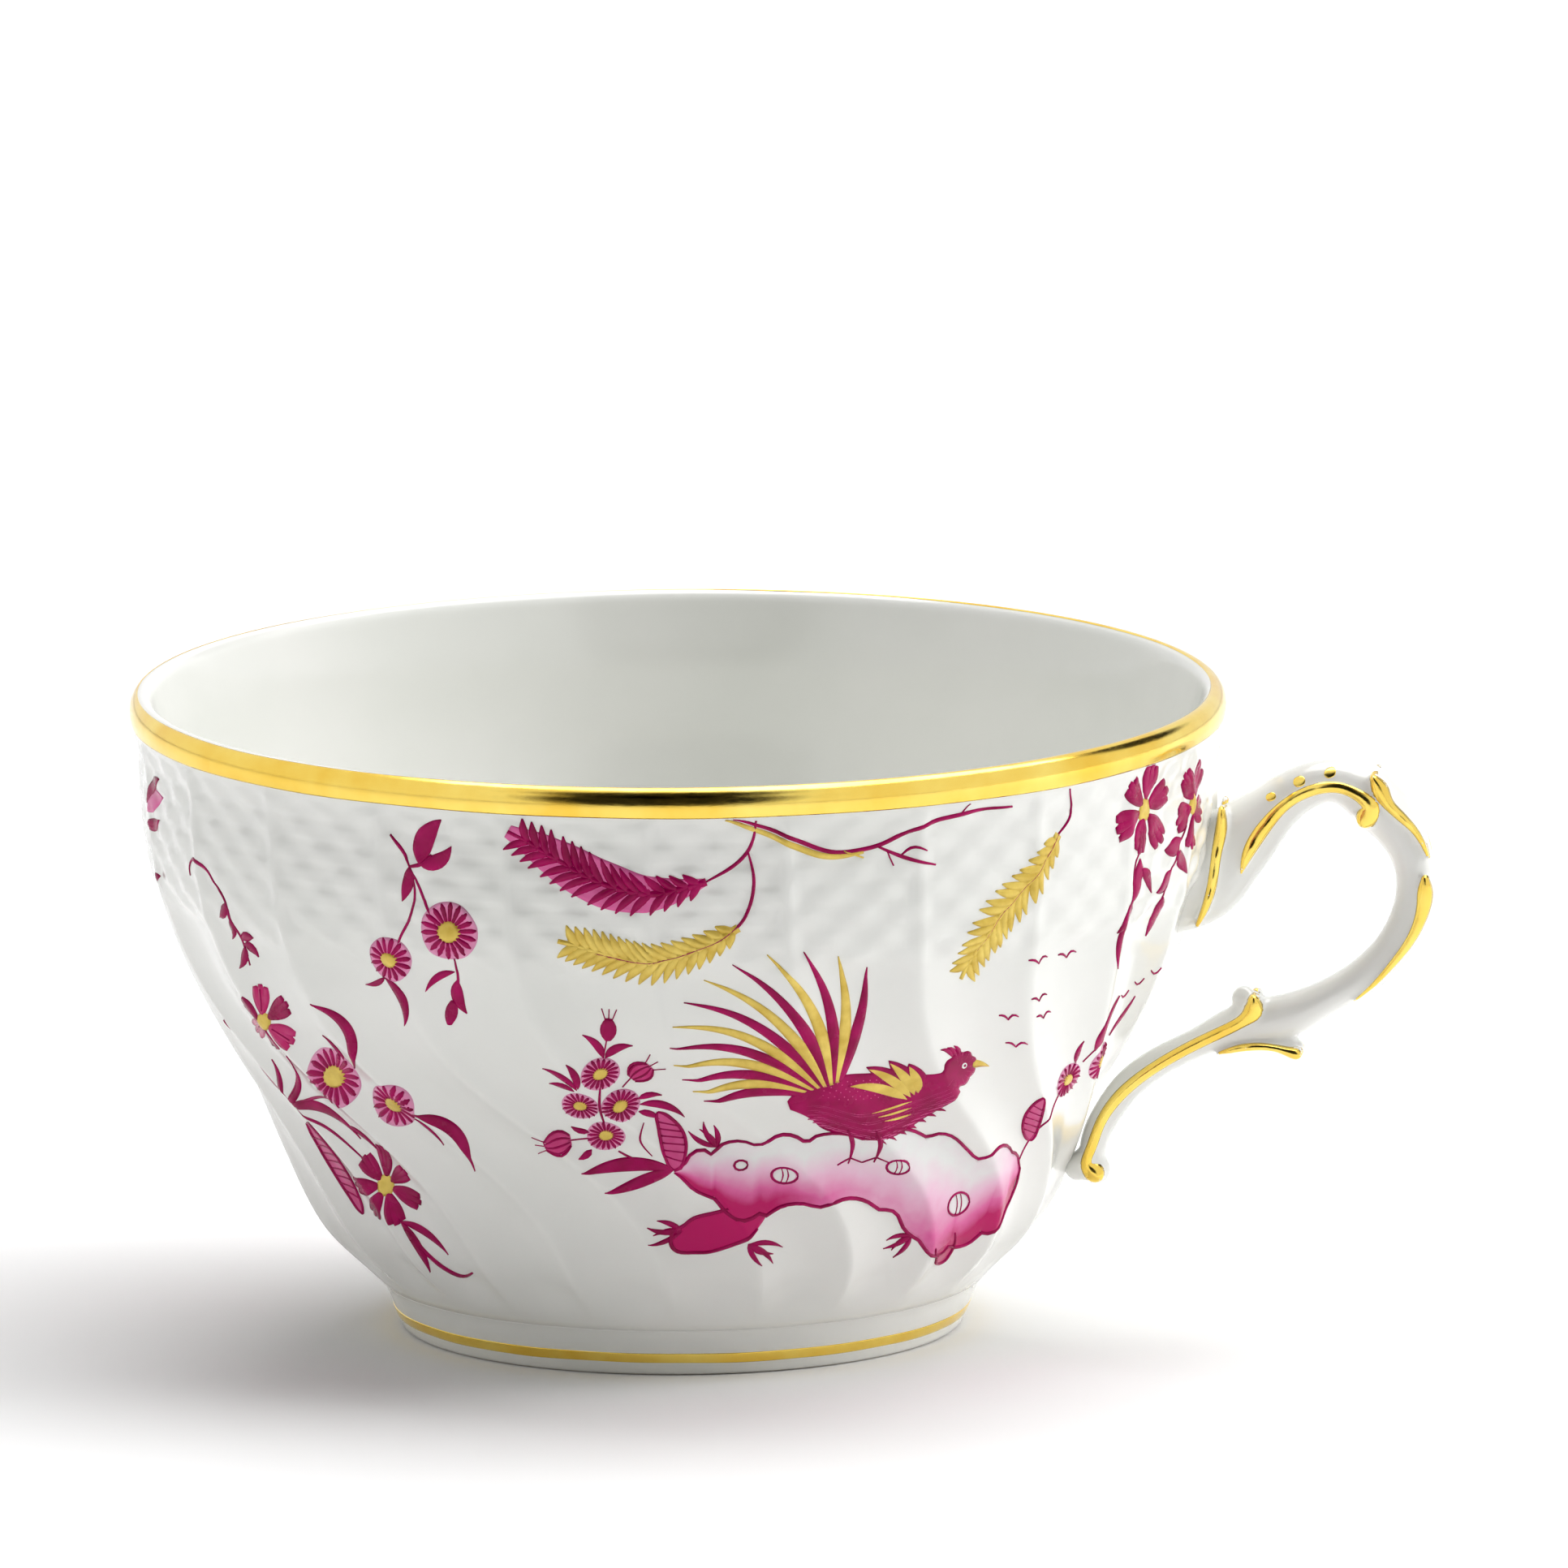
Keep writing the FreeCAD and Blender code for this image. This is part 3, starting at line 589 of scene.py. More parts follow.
class Painting:
    """One painted group: brush marks laid on the wall, drawn on a chart in millimetres.

    The chart's u runs round the cup from the group's turn, and v up along the wall's profile.
    """

    def __init__(self, turn):
        self.turn = turn
        self.parts, self.materials, self.tones = [], [], []

    def at(self, theta, z):
        """The chart's place for an angle from the group's turn and a height."""
        return np.array([wall_radius(z) * math.radians(theta), np.interp(z, WALL[:, 1], WALL_RUN)])

    def lift(self, uv, out):
        """Chart points on the wall, moved out along its normal."""
        uv = np.asarray(uv, float)
        run = uv[:, 1]
        stop = np.interp(PAINT_TOP, WALL[:, 1], WALL_RUN)
        run = np.where(run > stop, stop + 0.5 * (1 - np.exp((stop - run) / 0.5)), run)
        z = np.interp(run, WALL_RUN, WALL[:, 1])
        theta = self.turn + np.degrees(uv[:, 0] / wall_radius(z))
        return wall_point(FRONT_BEARING + theta, z, out)

    def films(self, uv, kind, out, edge):
        """Top and bottom of the next mark, a hair off the last so that their tops don't coincide."""
        height = LEVEL[kind] + out + 0.0006 * (len(self.parts) % 15)
        return self.lift(uv, height * edge), self.lift(uv, -PAINT_ROOT)

    def keep(self, vertices, faces, kind, tones):
        self.parts.append((vertices, faces))
        self.materials += [kind] * len(faces)
        self.tones += list(tones) * 2

    def grid(self, uv, rows, columns, kind, tone, out=0.0):
        """Adds a closed film whose top is a grid of chart points."""
        lane = np.abs(np.linspace(-1, 1, columns))
        top, bottom = self.films(uv, kind, out, np.tile(1 - 0.7 * lane ** 6, rows))
        self.keep(*shell(top, bottom, rows, columns), kind, np.broadcast_to(tone, rows * columns))

    def stroke(self, stations, kind=MAGENTA, tone=1.0, out=0.0):
        """A brush stroke through (u, v, half width) stations with pointed or round ends."""
        stations = np.asarray(stations, float)
        count = int(np.clip(run_along(stations)[-1] / MARK_GRID, 5, 60))
        path = smooth_path(stations, count)
        half = np.maximum(path[:, 2], 0.03)
        columns = int(np.clip(2 * half.max() / MARK_GRID, 2, 22)) + 1
        lanes = np.linspace(-1, 1, columns)
        normal = left_of(headings(path[:, :2]))
        uv = path[:, None, :2] + normal[:, None] * half[:, None, None] * lanes[None, :, None]
        self.grid(uv.reshape(-1, 2), count, columns, kind, tone, out)

    def line(self, points, half=0.14, kind=MAGENTA, out=0.0):
        """A fine line of nearly even width that thins out at both ends."""
        points = [tuple(p) for p in points]
        stations = [(u, v, half) for u, v in points]
        stations[0] = (*points[0], half * 0.55)
        stations[-1] = (*points[-1], half * 0.5)
        self.stroke(stations, kind, 1.0, out)

    def leaf(self, base, tip, half, bend=0.0, kind=MAGENTA, tone=1.0, out=0.0):
        """A pointed leaf; bend bows it to one side by that share of its length."""
        base, tip = np.asarray(base, float), np.asarray(tip, float)
        along = tip - base
        side = left_of(along) * bend
        stations = [(*(base + along * t + side * 4 * t * (1 - t)),
                     half * math.sin(math.pi * t ** 0.8) ** 0.8 if 0 < t < 1 else 0.04)
                    for t in (0, 0.15, 0.35, 0.55, 0.75, 0.9, 1)]
        self.stroke(stations, kind, tone, out)

    def disc(self, centre, radius, kind, tone=1.0, out=0.0, squash=1.0, tilt=0.0, lobes=0, bite=0.0):
        """A round spot of colour, its rim optionally scalloped; tone may be (middle, rim)."""
        rings = max(3, int(radius / 0.4) + 1)
        sides = max(14, int(2 * math.pi * radius / 0.4), 6 * lobes)
        uv, tones = [], []
        middle, rim = tone if isinstance(tone, tuple) else (tone, tone)
        for row in range(rings + 1):
            share = 0.02 + 0.98 * row / rings
            for step in range(sides):
                a = 2 * math.pi * step / sides
                r = radius * share * (1 - bite * share * abs(math.sin(lobes * a / 2)) ** 4)
                uv.append(oval(centre, r, squash, tilt, a))
                tones.append(middle + (rim - middle) * share)
        edge = np.ones(len(uv))
        edge[-sides:] = 0.3
        top, bottom = self.films(uv, kind, out, edge)
        size = len(uv)
        faces = []
        for row in range(rings):
            for step in range(sides):
                a, b = row * sides + step, row * sides + (step + 1) % sides
                faces.append((a, a + sides, b + sides, b))
                faces.append((size + a, size + b, size + b + sides, size + a + sides))
        faces.append(tuple(range(sides)))
        faces.append(tuple(size + i for i in range(sides))[::-1])
        outer = rings * sides
        for step in range(sides):
            a, b = outer + step, outer + (step + 1) % sides
            faces.append((a, size + a, size + b, b))
        self.keep(np.concatenate([top, bottom]), faces, kind, tones)

    # -- motifs
    def daisy(self, centre, radius, petals=16, squash=1.0, tilt=0.0):
        """A rose halo, a ring of dark petals and a gold eye."""
        self.disc(centre, radius, WASH, (0.9, 0.5), squash=squash, tilt=tilt)
        for k in range(petals):
            a = 2 * math.pi * k / petals + 0.1
            stations = []
            for share, width in ((0.36, 1.0), (0.55, 1.45), (0.78, 1.85), (0.92, 1.5), (1.0, 0.5)):
                r = radius * share * (0.96 + 0.04 * math.sin(5 * k))
                stations.append((*oval(centre, r, squash, tilt, a), width * radius / petals))
            self.stroke(stations, out=OVER)
        self.disc(centre, radius * 0.43, GOLD, out=OVER, squash=squash * 0.85, tilt=tilt)

    def cosmos(self, centre, radius, turn=0.0, petals=7, pale_every=3):
        """A flower of broad notched petals, some pale, round a gold eye."""
        centre = np.array(centre)
        for k in range(petals):
            a = turn + 2 * math.pi * k / petals
            size = radius * (1.0 + 0.1 * math.sin(2.7 * k + turn))
            reach = heading(a)
            side = left_of(reach)
            pale = pale_every and k % pale_every == 1
            kind, tone = (WASH, 0.9) if pale else (MAGENTA, 1.0)
            for lean, length in ((-1.3, 0.9), (0.0, 0.97), (1.25, 0.92)):
                way = reach + side * lean / petals
                self.stroke(((*(centre + reach * size * 0.2), 0.06 * radius),
                             (*(centre + way * size * 0.5), 0.72 * radius / petals),
                             (*(centre + way * size * 0.8 * length), 0.76 * radius / petals),
                             (*(centre + way * size * length), 0.07 * radius)), kind, tone)
            if pale:
                self.line((centre + reach * size * 0.3, centre + reach * size * 0.85), 0.09, out=OVER)
        self.disc(centre, radius * 0.25, GOLD, squash=0.92, tilt=turn)

    def bud(self, base, tip, half, hairs=3, striped=False):
        """A round bud on its stem end, with a little crown of hairs."""
        base, tip = np.asarray(base, float), np.asarray(tip, float)
        along = tip - base
        way = along / np.linalg.norm(along)
        side = left_of(way)
        kind, tone = (WASH, 0.85) if striped else (MAGENTA, 1.0)

        def width(t):
            return half * math.sin(math.pi * (0.06 + 0.88 * t)) ** 0.6

        self.stroke([(*(base + along * t), width(t)) for t in (0, 0.2, 0.45, 0.7, 1)], kind, tone)
        for share in (-0.98, -0.4, 0.2, 0.75, 0.98) if striped else ():
            self.line([base + along * t + side * width(t) * share for t in (0.02, 0.3, 0.6, 0.98)],
                      0.12, out=OVER)
        for k in range(hairs):
            s = (k - (hairs - 1) / 2) / max(hairs - 1, 1)
            root = tip + side * half * s * 0.8
            self.line((root - way * 0.2, root + along * 0.42 + side * half * s), 0.1)

    def striped_leaf(self, base, tip, half, bend=0.0, stripes=6):
        """A rose leaf with a dark outline and slanting bars."""
        base, tip = np.asarray(base, float), np.asarray(tip, float)
        along = tip - base
        side = left_of(along)
        unit = side / np.linalg.norm(side)

        def spine(t):
            return base + along * t + side * bend * 4 * t * (1 - t)

        def width(t):
            return half * math.sin(math.pi * t ** 0.85) ** 0.6 if 0 < t < 1 else 0.0

        steps = (0.0, 0.05, 0.15, 0.3, 0.5, 0.7, 0.85, 0.95, 1.0)
        self.stroke([(*spine(t), width(t)) for t in steps], WASH, 0.8)
        for edge in (-1, 1):
            self.line([spine(t) + unit * edge * width(t) for t in steps], 0.15, out=OVER)
        for k in range(stripes):
            t = 0.14 + 0.66 * k / stripes
            ends = spine(t) - unit * width(t) * 0.95, spine(t + 0.16) + unit * width(t + 0.16) * 0.95
            self.line(ends, 0.13, out=OVER)

    def frond(self, spine_points, half, count, kind=MAGENTA, wash=True, barb=0.34, slant=0.9):
        """A feathery leaf: slanting barbs on both sides of a curved rib."""
        path = smooth_path(spine_points, 60)
        way = headings(path)
        side = left_of(way)
        share = np.linspace(0, 1, 60)
        reach = half * np.sin(np.pi * (0.12 + 0.76 * share)) ** 0.7
        if wash:
            taper = 0.95 * np.sin(np.pi * (0.03 + 0.94 * share)) ** 0.5
            self.stroke([(*path[i], reach[i] * taper[i]) for i in range(0, 60, 4)], WASH, 0.7)
        for k in range(count):
            i = int(2 + 52 * k / count)
            for edge in (-1, 1):
                root = path[i]
                tip = root + side[i] * edge * reach[i] + way[i] * slant * reach[i]
                mid = (root + tip) / 2 + way[i] * 0.1 * reach[i]
                self.stroke(((*root, barb * 0.8), (*mid, barb), (*tip, 0.07)), kind, out=OVER * wash)
        self.stroke([(*path[i], barb * (1 - 0.5 * i / 59)) for i in range(0, 60, 8)], kind,
                    out=OVER * wash)

    def grass(self, base, direction, size, count=4, spread=1.1):
        """A tuft of short curved blades."""
        for k in range(count):
            a = direction + spread * ((k + 0.5) / count - 0.5)
            tip = base + size * (0.85 + 0.2 * (k % 2)) * heading(a)
            self.leaf(base, tip, 0.26, 0.1 if k % 2 else -0.08)

    def piece(self, name, slot):
        """Hands the group over as one piece with its three paints."""
        paint = [magenta_enamel(), rose_wash(), painted_gold()]
        add_mesh(name, *join(self.parts), paint, slot, self.materials, self.tones)


def left_spray(p):
    """Two big flowers, two daisies and trailing leaves, with a drooping twig above."""
    at = p.at
    p.leaf(at(-78.5, 47.6), at(-73, 49.6), 0.9, 0.1, WASH, 0.7)
    p.leaf(at(-78.5, 48.4), at(-73.5, 51.2), 0.7, 0.1)
    p.leaf(at(-79, 46.6), at(-74.5, 47.4), 0.6, -0.1)
    p.leaf(at(-80, 41), at(-77, 42), 0.5, 0.1)
    p.line([at(-65.5, 43.8), at(-64.6, 45.3), at(-61.5, 44.8), at(-58.6, 42.6), at(-57.6, 39.6),
            at(-57.4, 36.4)], 0.17)
    for theta, z, dt, dz, half in ((-58.2, 42.3, -1.9, -1.6, 0.6), (-57.9, 40.9, -1.3, -2.2, 0.4),
                                   (-57.5, 38.8, 2.6, 0.5, 0.55), (-57.4, 38.4, 2.2, -1.0, 0.5),
                                   (-57.4, 38.2, -2.0, -2.2, 0.5)):
        p.leaf(at(theta, z), at(theta + dt, z + dz), half, 0.12)
    p.cosmos(at(-58.5, 31.2), 4.1, 0.6, 6, 2)
    root = at(-66.0, 22.4)
    p.line([at(-57.6, 28.0), at(-60.5, 25.0), root], 0.16)
    p.line([at(-51.5, 24.6), at(-57.0, 23.8), root], 0.16)
    p.daisy(at(-49.4, 26.8), 3.3, 17)
    p.daisy(at(-40.2, 25.0), 2.7, 15)
    p.leaf(at(-44.2, 28.2), at(-46.6, 34.4), 0.55, -0.26)
    p.leaf(at(-45.6, 28.6), at(-47.6, 31.0), 0.4, -0.1)
    p.leaf(at(-37.0, 24.6), at(-30.0, 19.4), 0.55, 0.22)
    p.leaf(at(-37.2, 24.0), at(-34.0, 21.6), 0.32, 0.1)
    p.leaf(root, at(-58.8, 26.6), 0.5, -0.2)
    p.leaf(root, at(-50.6, 20.6), 0.5, 0.14)
    p.leaf(at(-52.6, 21.6), at(-47.0, 19.6), 0.36, 0.1)
    for theta, z, bend in ((-76.0, 28.6, 0.1), (-72.5, 29.6, 0.14), (-64.5, 26.6, -0.1)):
        p.leaf(root, at(theta, z), 0.36, bend)
    p.line([root, at(-58.0, 21.4), at(-51.5, 18.8)], 0.13)
    p.striped_leaf(at(-64.8, 20.6), at(-57.6, 12.9), 1.35, 0.08, 8)
    p.cosmos(at(-48.2, 16.6), 4.3, 1.5, 7, 0)
    for tip, bend in (((-45.5, 8.6), 0.06), ((-40.0, 10.4), 0.1)):
        p.leaf(at(-47.0, 13.4), at(*tip), 0.4, bend)
    p.line([at(-46.2, 12.8), at(-43.4, 9.6), at(-38.8, 8.2), at(-36.4, 8.9)], 0.22)


def hanging_spray(p):
    """A stem with a bud, from which two daisies and small buds hang."""
    at = p.at
    p.line([at(-31.8, 51.3), at(-30.5, 50.0), at(-29.6, 48.6)], 0.17)
    p.line([at(-29.6, 48.6), at(-28.0, 49.0), at(-27.0, 49.8)], 0.2)
    p.leaf(at(-28.4, 48.9), at(-25.6, 53.0), 1.0, 0.12)
    p.leaf(at(-28.4, 48.9), at(-24.6, 50.7), 0.7, -0.16)
    p.line([at(-27.6, 49.6), at(-26.4, 52.2)], 0.07, WASH, 0.05)
    p.leaf(at(-29.6, 48.6), at(-30.7, 45.4), 0.55, 0.05)
    p.line([at(-29.5, 48.5), at(-28.2, 46.0), at(-26.8, 43.4)], 0.14)
    p.line([at(-29.5, 48.5), at(-29.3, 45.2), at(-31.0, 42.4), at(-32.6, 40.2)], 0.12)
    p.daisy(at(-25.3, 43.0), 2.75, 18)
    p.daisy(at(-33.1, 39.9), 2.2, 15)
    p.line([at(-25.2, 40.4), at(-25.4, 37.8), at(-26.6, 35.4)], 0.14)
    p.leaf(at(-25.5, 39.0), at(-29.4, 37.0), 0.38, -0.14)
    p.leaf(at(-25.4, 38.2), at(-24.9, 35.0), 0.6, -0.12)
    p.bud(at(-26.3, 36.2), at(-27.3, 33.9), 0.6, 0)
    p.leaf(at(-34.4, 38.0), at(-37.8, 36.8), 0.3, 0.1)
    p.leaf(at(-34.4, 38.0), at(-33.4, 33.4), 0.55, 0.22)


def feather_pair(p):
    """A rose frond and a gold frond that share one stem from the lip."""
    at = p.at
    p.frond([at(3.0, 48.2), at(-3.5, 47.2), at(-8.5, 48.2), at(-13.5, 50.4), at(-19.0, 53.0)],
            2.2, 16, barb=0.36)
    p.line([at(8.2, 53.6), at(7.4, 50.8), at(5.6, 49.4), at(3.0, 48.2)], 0.16)
    p.frond([at(6.4, 44.0), at(2.5, 42.2), at(-3.0, 41.0), at(-9.0, 41.9), at(-14.0, 43.0)],
            2.1, 17, GOLD, False, 0.4)
    p.line([at(7.4, 50.8), at(8.0, 48.6), at(6.6, 44.4), at(2.5, 42.2), at(-3.0, 41.0),
            at(-9.0, 41.7)], 0.14, out=0.04)


def twig(p):
    """A bare branching twig under the lip with a gold line beneath it."""
    at = p.at
    p.line([at(5.0, 53.8), at(10.5, 51.9), at(16.5, 50.0), at(20.0, 50.2)], 0.26, GOLD)
    p.line([at(5.8, 53.9), at(11.0, 52.3), at(16.8, 50.4), at(21.4, 50.7), at(24.6, 51.6),
            at(31.0, 52.8), at(37.6, 52.9)], 0.19)
    p.line([at(21.4, 50.7), at(24.2, 49.6), at(28.4, 48.5)], 0.17)
    p.line([at(24.2, 49.6), at(25.8, 50.3), at(27.2, 49.9)], 0.13)
    p.line([at(22.6, 50.2), at(23.4, 48.8)], 0.13)
    p.line([at(31.0, 52.8), at(32.2, 53.7)], 0.12)
    p.line([at(17.8, 50.4), at(20.0, 49.7)], 0.16, GOLD)


def gilt_feather(p):
    """A hanging gold frond with a dark rib."""
    at = p.at
    p.frond([at(44.6, 49.6), at(41.5, 46.6), at(37.0, 43.2), at(34.6, 40.0), at(33.0, 36.6)],
            2.1, 15, GOLD, False, 0.42)
    p.line([at(45.6, 53.6), at(46.4, 51.8), at(44.6, 49.6), at(41.5, 46.6), at(37.0, 43.2),
            at(34.6, 40.0)], 0.12, out=0.04)


def rim_spray(p):
    """Two flowers under the lip with leaves that trail down."""
    at = p.at
    p.cosmos(at(59.5, 49.9), 4.5, 0.25, 6, 0)
    p.cosmos(at(72.0, 48.6), 4.0, 0.9, 5, 0)
    p.line([at(59.0, 48.0), at(58.0, 44.5), at(58.0, 41.4)], 0.15)
    p.leaf(at(59.0, 45.6), at(57.8, 41.6), 0.75, 0.1)
    p.leaf(at(58.2, 42.0), at(56.4, 39.2), 0.7, 0.1)
    p.leaf(at(58.0, 40.8), at(58.9, 35.6), 0.5, -0.12)
    p.leaf(at(59.4, 44.6), at(62.6, 42.0), 0.55, 0.1)
    p.line([at(70.0, 47.0), at(67.6, 44.0), at(66.0, 41.0)], 0.15)
    for theta, z, dt, dz in ((69.0, 46.0, -3.2, -0.4), (68.0, 44.6, 2.6, -1.6),
                             (67.2, 43.4, -2.6, -1.2), (66.0, 41.2, 0.0, -3.0)):
        p.leaf(at(theta, z), at(theta + dt * 1.3, z + dz * 1.3), 0.8, 0.1)


def distant_birds(p):
    """Six far birds, each two short curved lines."""
    for theta, z, size in ((43.5, 38.2, 1.3), (49.0, 37.8, 1.3), (45.4, 34.4, 1.2),
                           (41.6, 32.9, 1.0), (47.6, 32.4, 1.15), (44.6, 30.0, 1.15)):
        u, v = p.at(theta, z)
        p.line(((u - size, v + 0.35), (u - size * 0.5, v + 0.3), (u, v - 0.2)), 0.13)
        p.line(((u, v - 0.2), (u + size * 0.5, v + 0.35), (u + size, v + 0.15)), 0.13)


def bouquet(p):
    """Four daisies, buds and leaves on stems that leave the rock's left end."""
    at = p.at
    root = at(-0.8, 20.6)
    p.bud(at(-8.3, 33.0), at(-8.0, 35.2), 0.75)
    p.line([at(-8.4, 33.2), at(-9.0, 31.4)], 0.13)
    p.leaf(at(-9.0, 31.3), at(-11.2, 33.6), 0.38, -0.12)
    p.leaf(at(-8.8, 31.3), at(-5.4, 32.6), 0.45, 0.14)
    p.line([at(-9.6, 29.0), at(-10.0, 26.2), at(-9.7, 24.4)], 0.13)
    for place, radius in (((-9.5, 29.9), 1.75), ((-12.6, 26.6), 1.8), ((-7.4, 26.9), 1.75),
                          ((-9.8, 23.6), 1.8)):
        p.daisy(at(*place), radius, 18, 0.93, 0.6)
    p.leaf(at(-12.6, 28.4), at(-16.6, 30.2), 0.4, -0.12)
    p.leaf(at(-12.4, 28.6), at(-13.4, 31.0), 0.36, -0.1)
    p.leaf(at(-13.0, 28.2), at(-16.2, 28.6), 0.36, -0.1)
    p.line([at(-7.0, 28.5), at(-5.8, 29.4)], 0.13)
    p.bud(at(-5.9, 29.3), at(-3.5, 30.6), 1.15, 3, True)
    p.leaf(at(-5.2, 27.3), at(-2.2, 27.6), 0.34, 0.1)
    p.leaf(at(-5.0, 26.8), at(0.6, 25.4), 0.42, 0.14)
    p.leaf(at(-5.2, 26.2), at(-2.6, 25.4), 0.32, 0.06)
    p.line([at(-12.0, 23.2), at(-15.0, 23.1)], 0.14)
    p.bud(at(-14.6, 23.1), at(-18.2, 22.7), 1.25, 3, True)
    p.leaf(at(-12.0, 23.8), at(-14.4, 24.3), 0.3, 0.1)
    p.leaf(at(-12.0, 22.2), at(-13.8, 21.5), 0.36, 0.1)
    p.line([at(-8.4, 22.0), at(-5.0, 20.9), root], 0.16)
    p.leaf(root, at(-13.6, 20.2), 0.75, -0.05)
    p.leaf(root, at(-10.6, 18.4), 0.6, 0.06)
    p.striped_leaf(root, at(-2.8, 26.0), 1.05, -0.1, 6)
    p.line([at(-3.8, 21.8), at(-5.2, 23.4), at(-4.6, 25.2)], 0.1)


def song_bird(p):
    """A generic long-tailed bird that stands with its head up, with a fan of plumes behind."""
    at = p.at
    rump = at(17.0, 27.4)
    for k in range(13):
        share = k / 12
        a = math.radians(172 - 104 * share)
        reach = 7.4 + 7.2 * math.sin(math.pi * (0.12 + 0.62 * share)) ** 1.5
        way = heading(a)
        side = left_of(way)
        start = rump + way * 0.8 + np.array([1.9 * share, 0.9 * share])
        curl = 0.16 + 0.24 * math.sin(math.pi * share)
        stations = []
        for t in (0, 0.25, 0.5, 0.75, 1.0):
            place = start + way * reach * t + side * reach * curl * (t ** 2.6)
            stations.append((*place, (0.42, 0.58, 0.52, 0.34, 0.05)[int(t * 4)]))
        p.stroke(stations, GOLD if k % 2 else MAGENTA, out=-0.02 if k % 2 else 0.0)
    # body and head are solid enamel, with pale hatching over the breast
    body = smooth_path([(*at(14.0, 26.2), 0.5), (*at(17.5, 26.6), 2.7), (*at(22.5, 26.0), 3.6),
                        (*at(28.0, 25.6), 3.6), (*at(33.0, 26.4), 2.6), (*at(36.0, 27.6), 1.7)], 40)
    p.stroke([tuple(body[i]) for i in range(0, 40, 3)], out=0.004)
    head = at(36.6, 28.4)
    p.disc(head, 2.25, MAGENTA, 1.0, 0.006, 0.9, 0.3, 9, 0.1)
    way = headings(body[:, :2])
    normal = left_of(way)
    fleck = 0.045  # how far the pale flecks lie above the plumage
    for i in range(5, 37):
        for row in range(4):
            across = -0.14 - 0.23 * row - 0.06 * (i % 2)
            place = body[i][:2] + normal[i] * body[i][2] * across
            ends = place - way[i] * 0.5, place + way[i] * 0.45
            p.stroke(((*ends[0], 0.03), (*place, 0.085), (*ends[1], 0.03)), WASH, 0.72, fleck)
    for i in range(7, 22):
        for row in range(3):
            place = body[i][:2] + normal[i] * body[i][2] * (0.28 + 0.22 * row + 0.08 * (i % 2))
            p.disc(place, 0.085, WASH, 0.75, fleck)
    for k in range(11):
        a = math.radians(-140 + 24 * k)
        p.stroke([(*(head + reach * heading(a)), half)
                  for reach, half in ((1.0, 0.03), (1.5, 0.08), (1.95, 0.03))], WASH, 0.7, fleck)
    for k in range(3):
        root = head + np.array([-0.7 + 0.4 * k, 1.6 - 0.12 * k])
        p.leaf(root, root + np.array([-1.5 + 0.4 * k, 1.3 + 0.1 * k]), 0.26, -0.15)
    for i in range(20, 34, 2):
        root = body[i][:2] - normal[i] * body[i][2] * 0.9
        p.leaf(root, root + way[i] * 1.0 - normal[i] * 0.55, 0.2, 0.1)
    p.disc(head + (0.65, 0.35), 0.45, WASH, 0.0, fleck)
    p.disc(head + (0.7, 0.35), 0.22, MAGENTA, 1.0, fleck)
    p.stroke(((*(head + (1.7, 0.2)), 0.5), (*(head + (2.6, 0.0)), 0.36), (*(head + (3.7, -0.45)), 0.05)),
             GOLD, out=0.01)
    p.line((head + (1.6, 0.0), head + (3.5, -0.4)), 0.08, out=0.05)
    shoulder = at(30.4, 25.9)
    for k in range(4):
        a = math.radians(156 - 22 * k)
        size = 6.6 - 0.75 * k
        root, tip = shoulder + (0.35 * k, 0.25 * k), shoulder + size * heading(a)
        p.leaf(root, tip, 1.05, -0.06, out=0.02)
        p.leaf(root, tip - 0.3 * heading(a), 0.8, -0.06, GOLD, out=0.02)
    for k in range(3):
        a = math.radians(180 - 3 * k + 10)
        root = shoulder + (0.5, -0.3 - 0.75 * k)
        tip = root + (4.6 - 0.7 * k) * heading(a) * (1, 0.6)
        p.leaf(root, tip, 0.62, 0.05, out=0.02)
        p.leaf(root, tip + (0.3, 0), 0.45, 0.05, GOLD, out=0.02)
    for theta in (22.6, 26.4):
        hip, toe = at(theta, 23.6), at(theta + 1.6, 20.6)
        p.line((hip, (hip + toe) / 2 + (0.35, 0), toe), 0.24, out=OVER)
        for spread in (-1.3, -0.2, 1.1):
            p.line((toe, toe + (spread, -0.55)), 0.19, out=OVER)


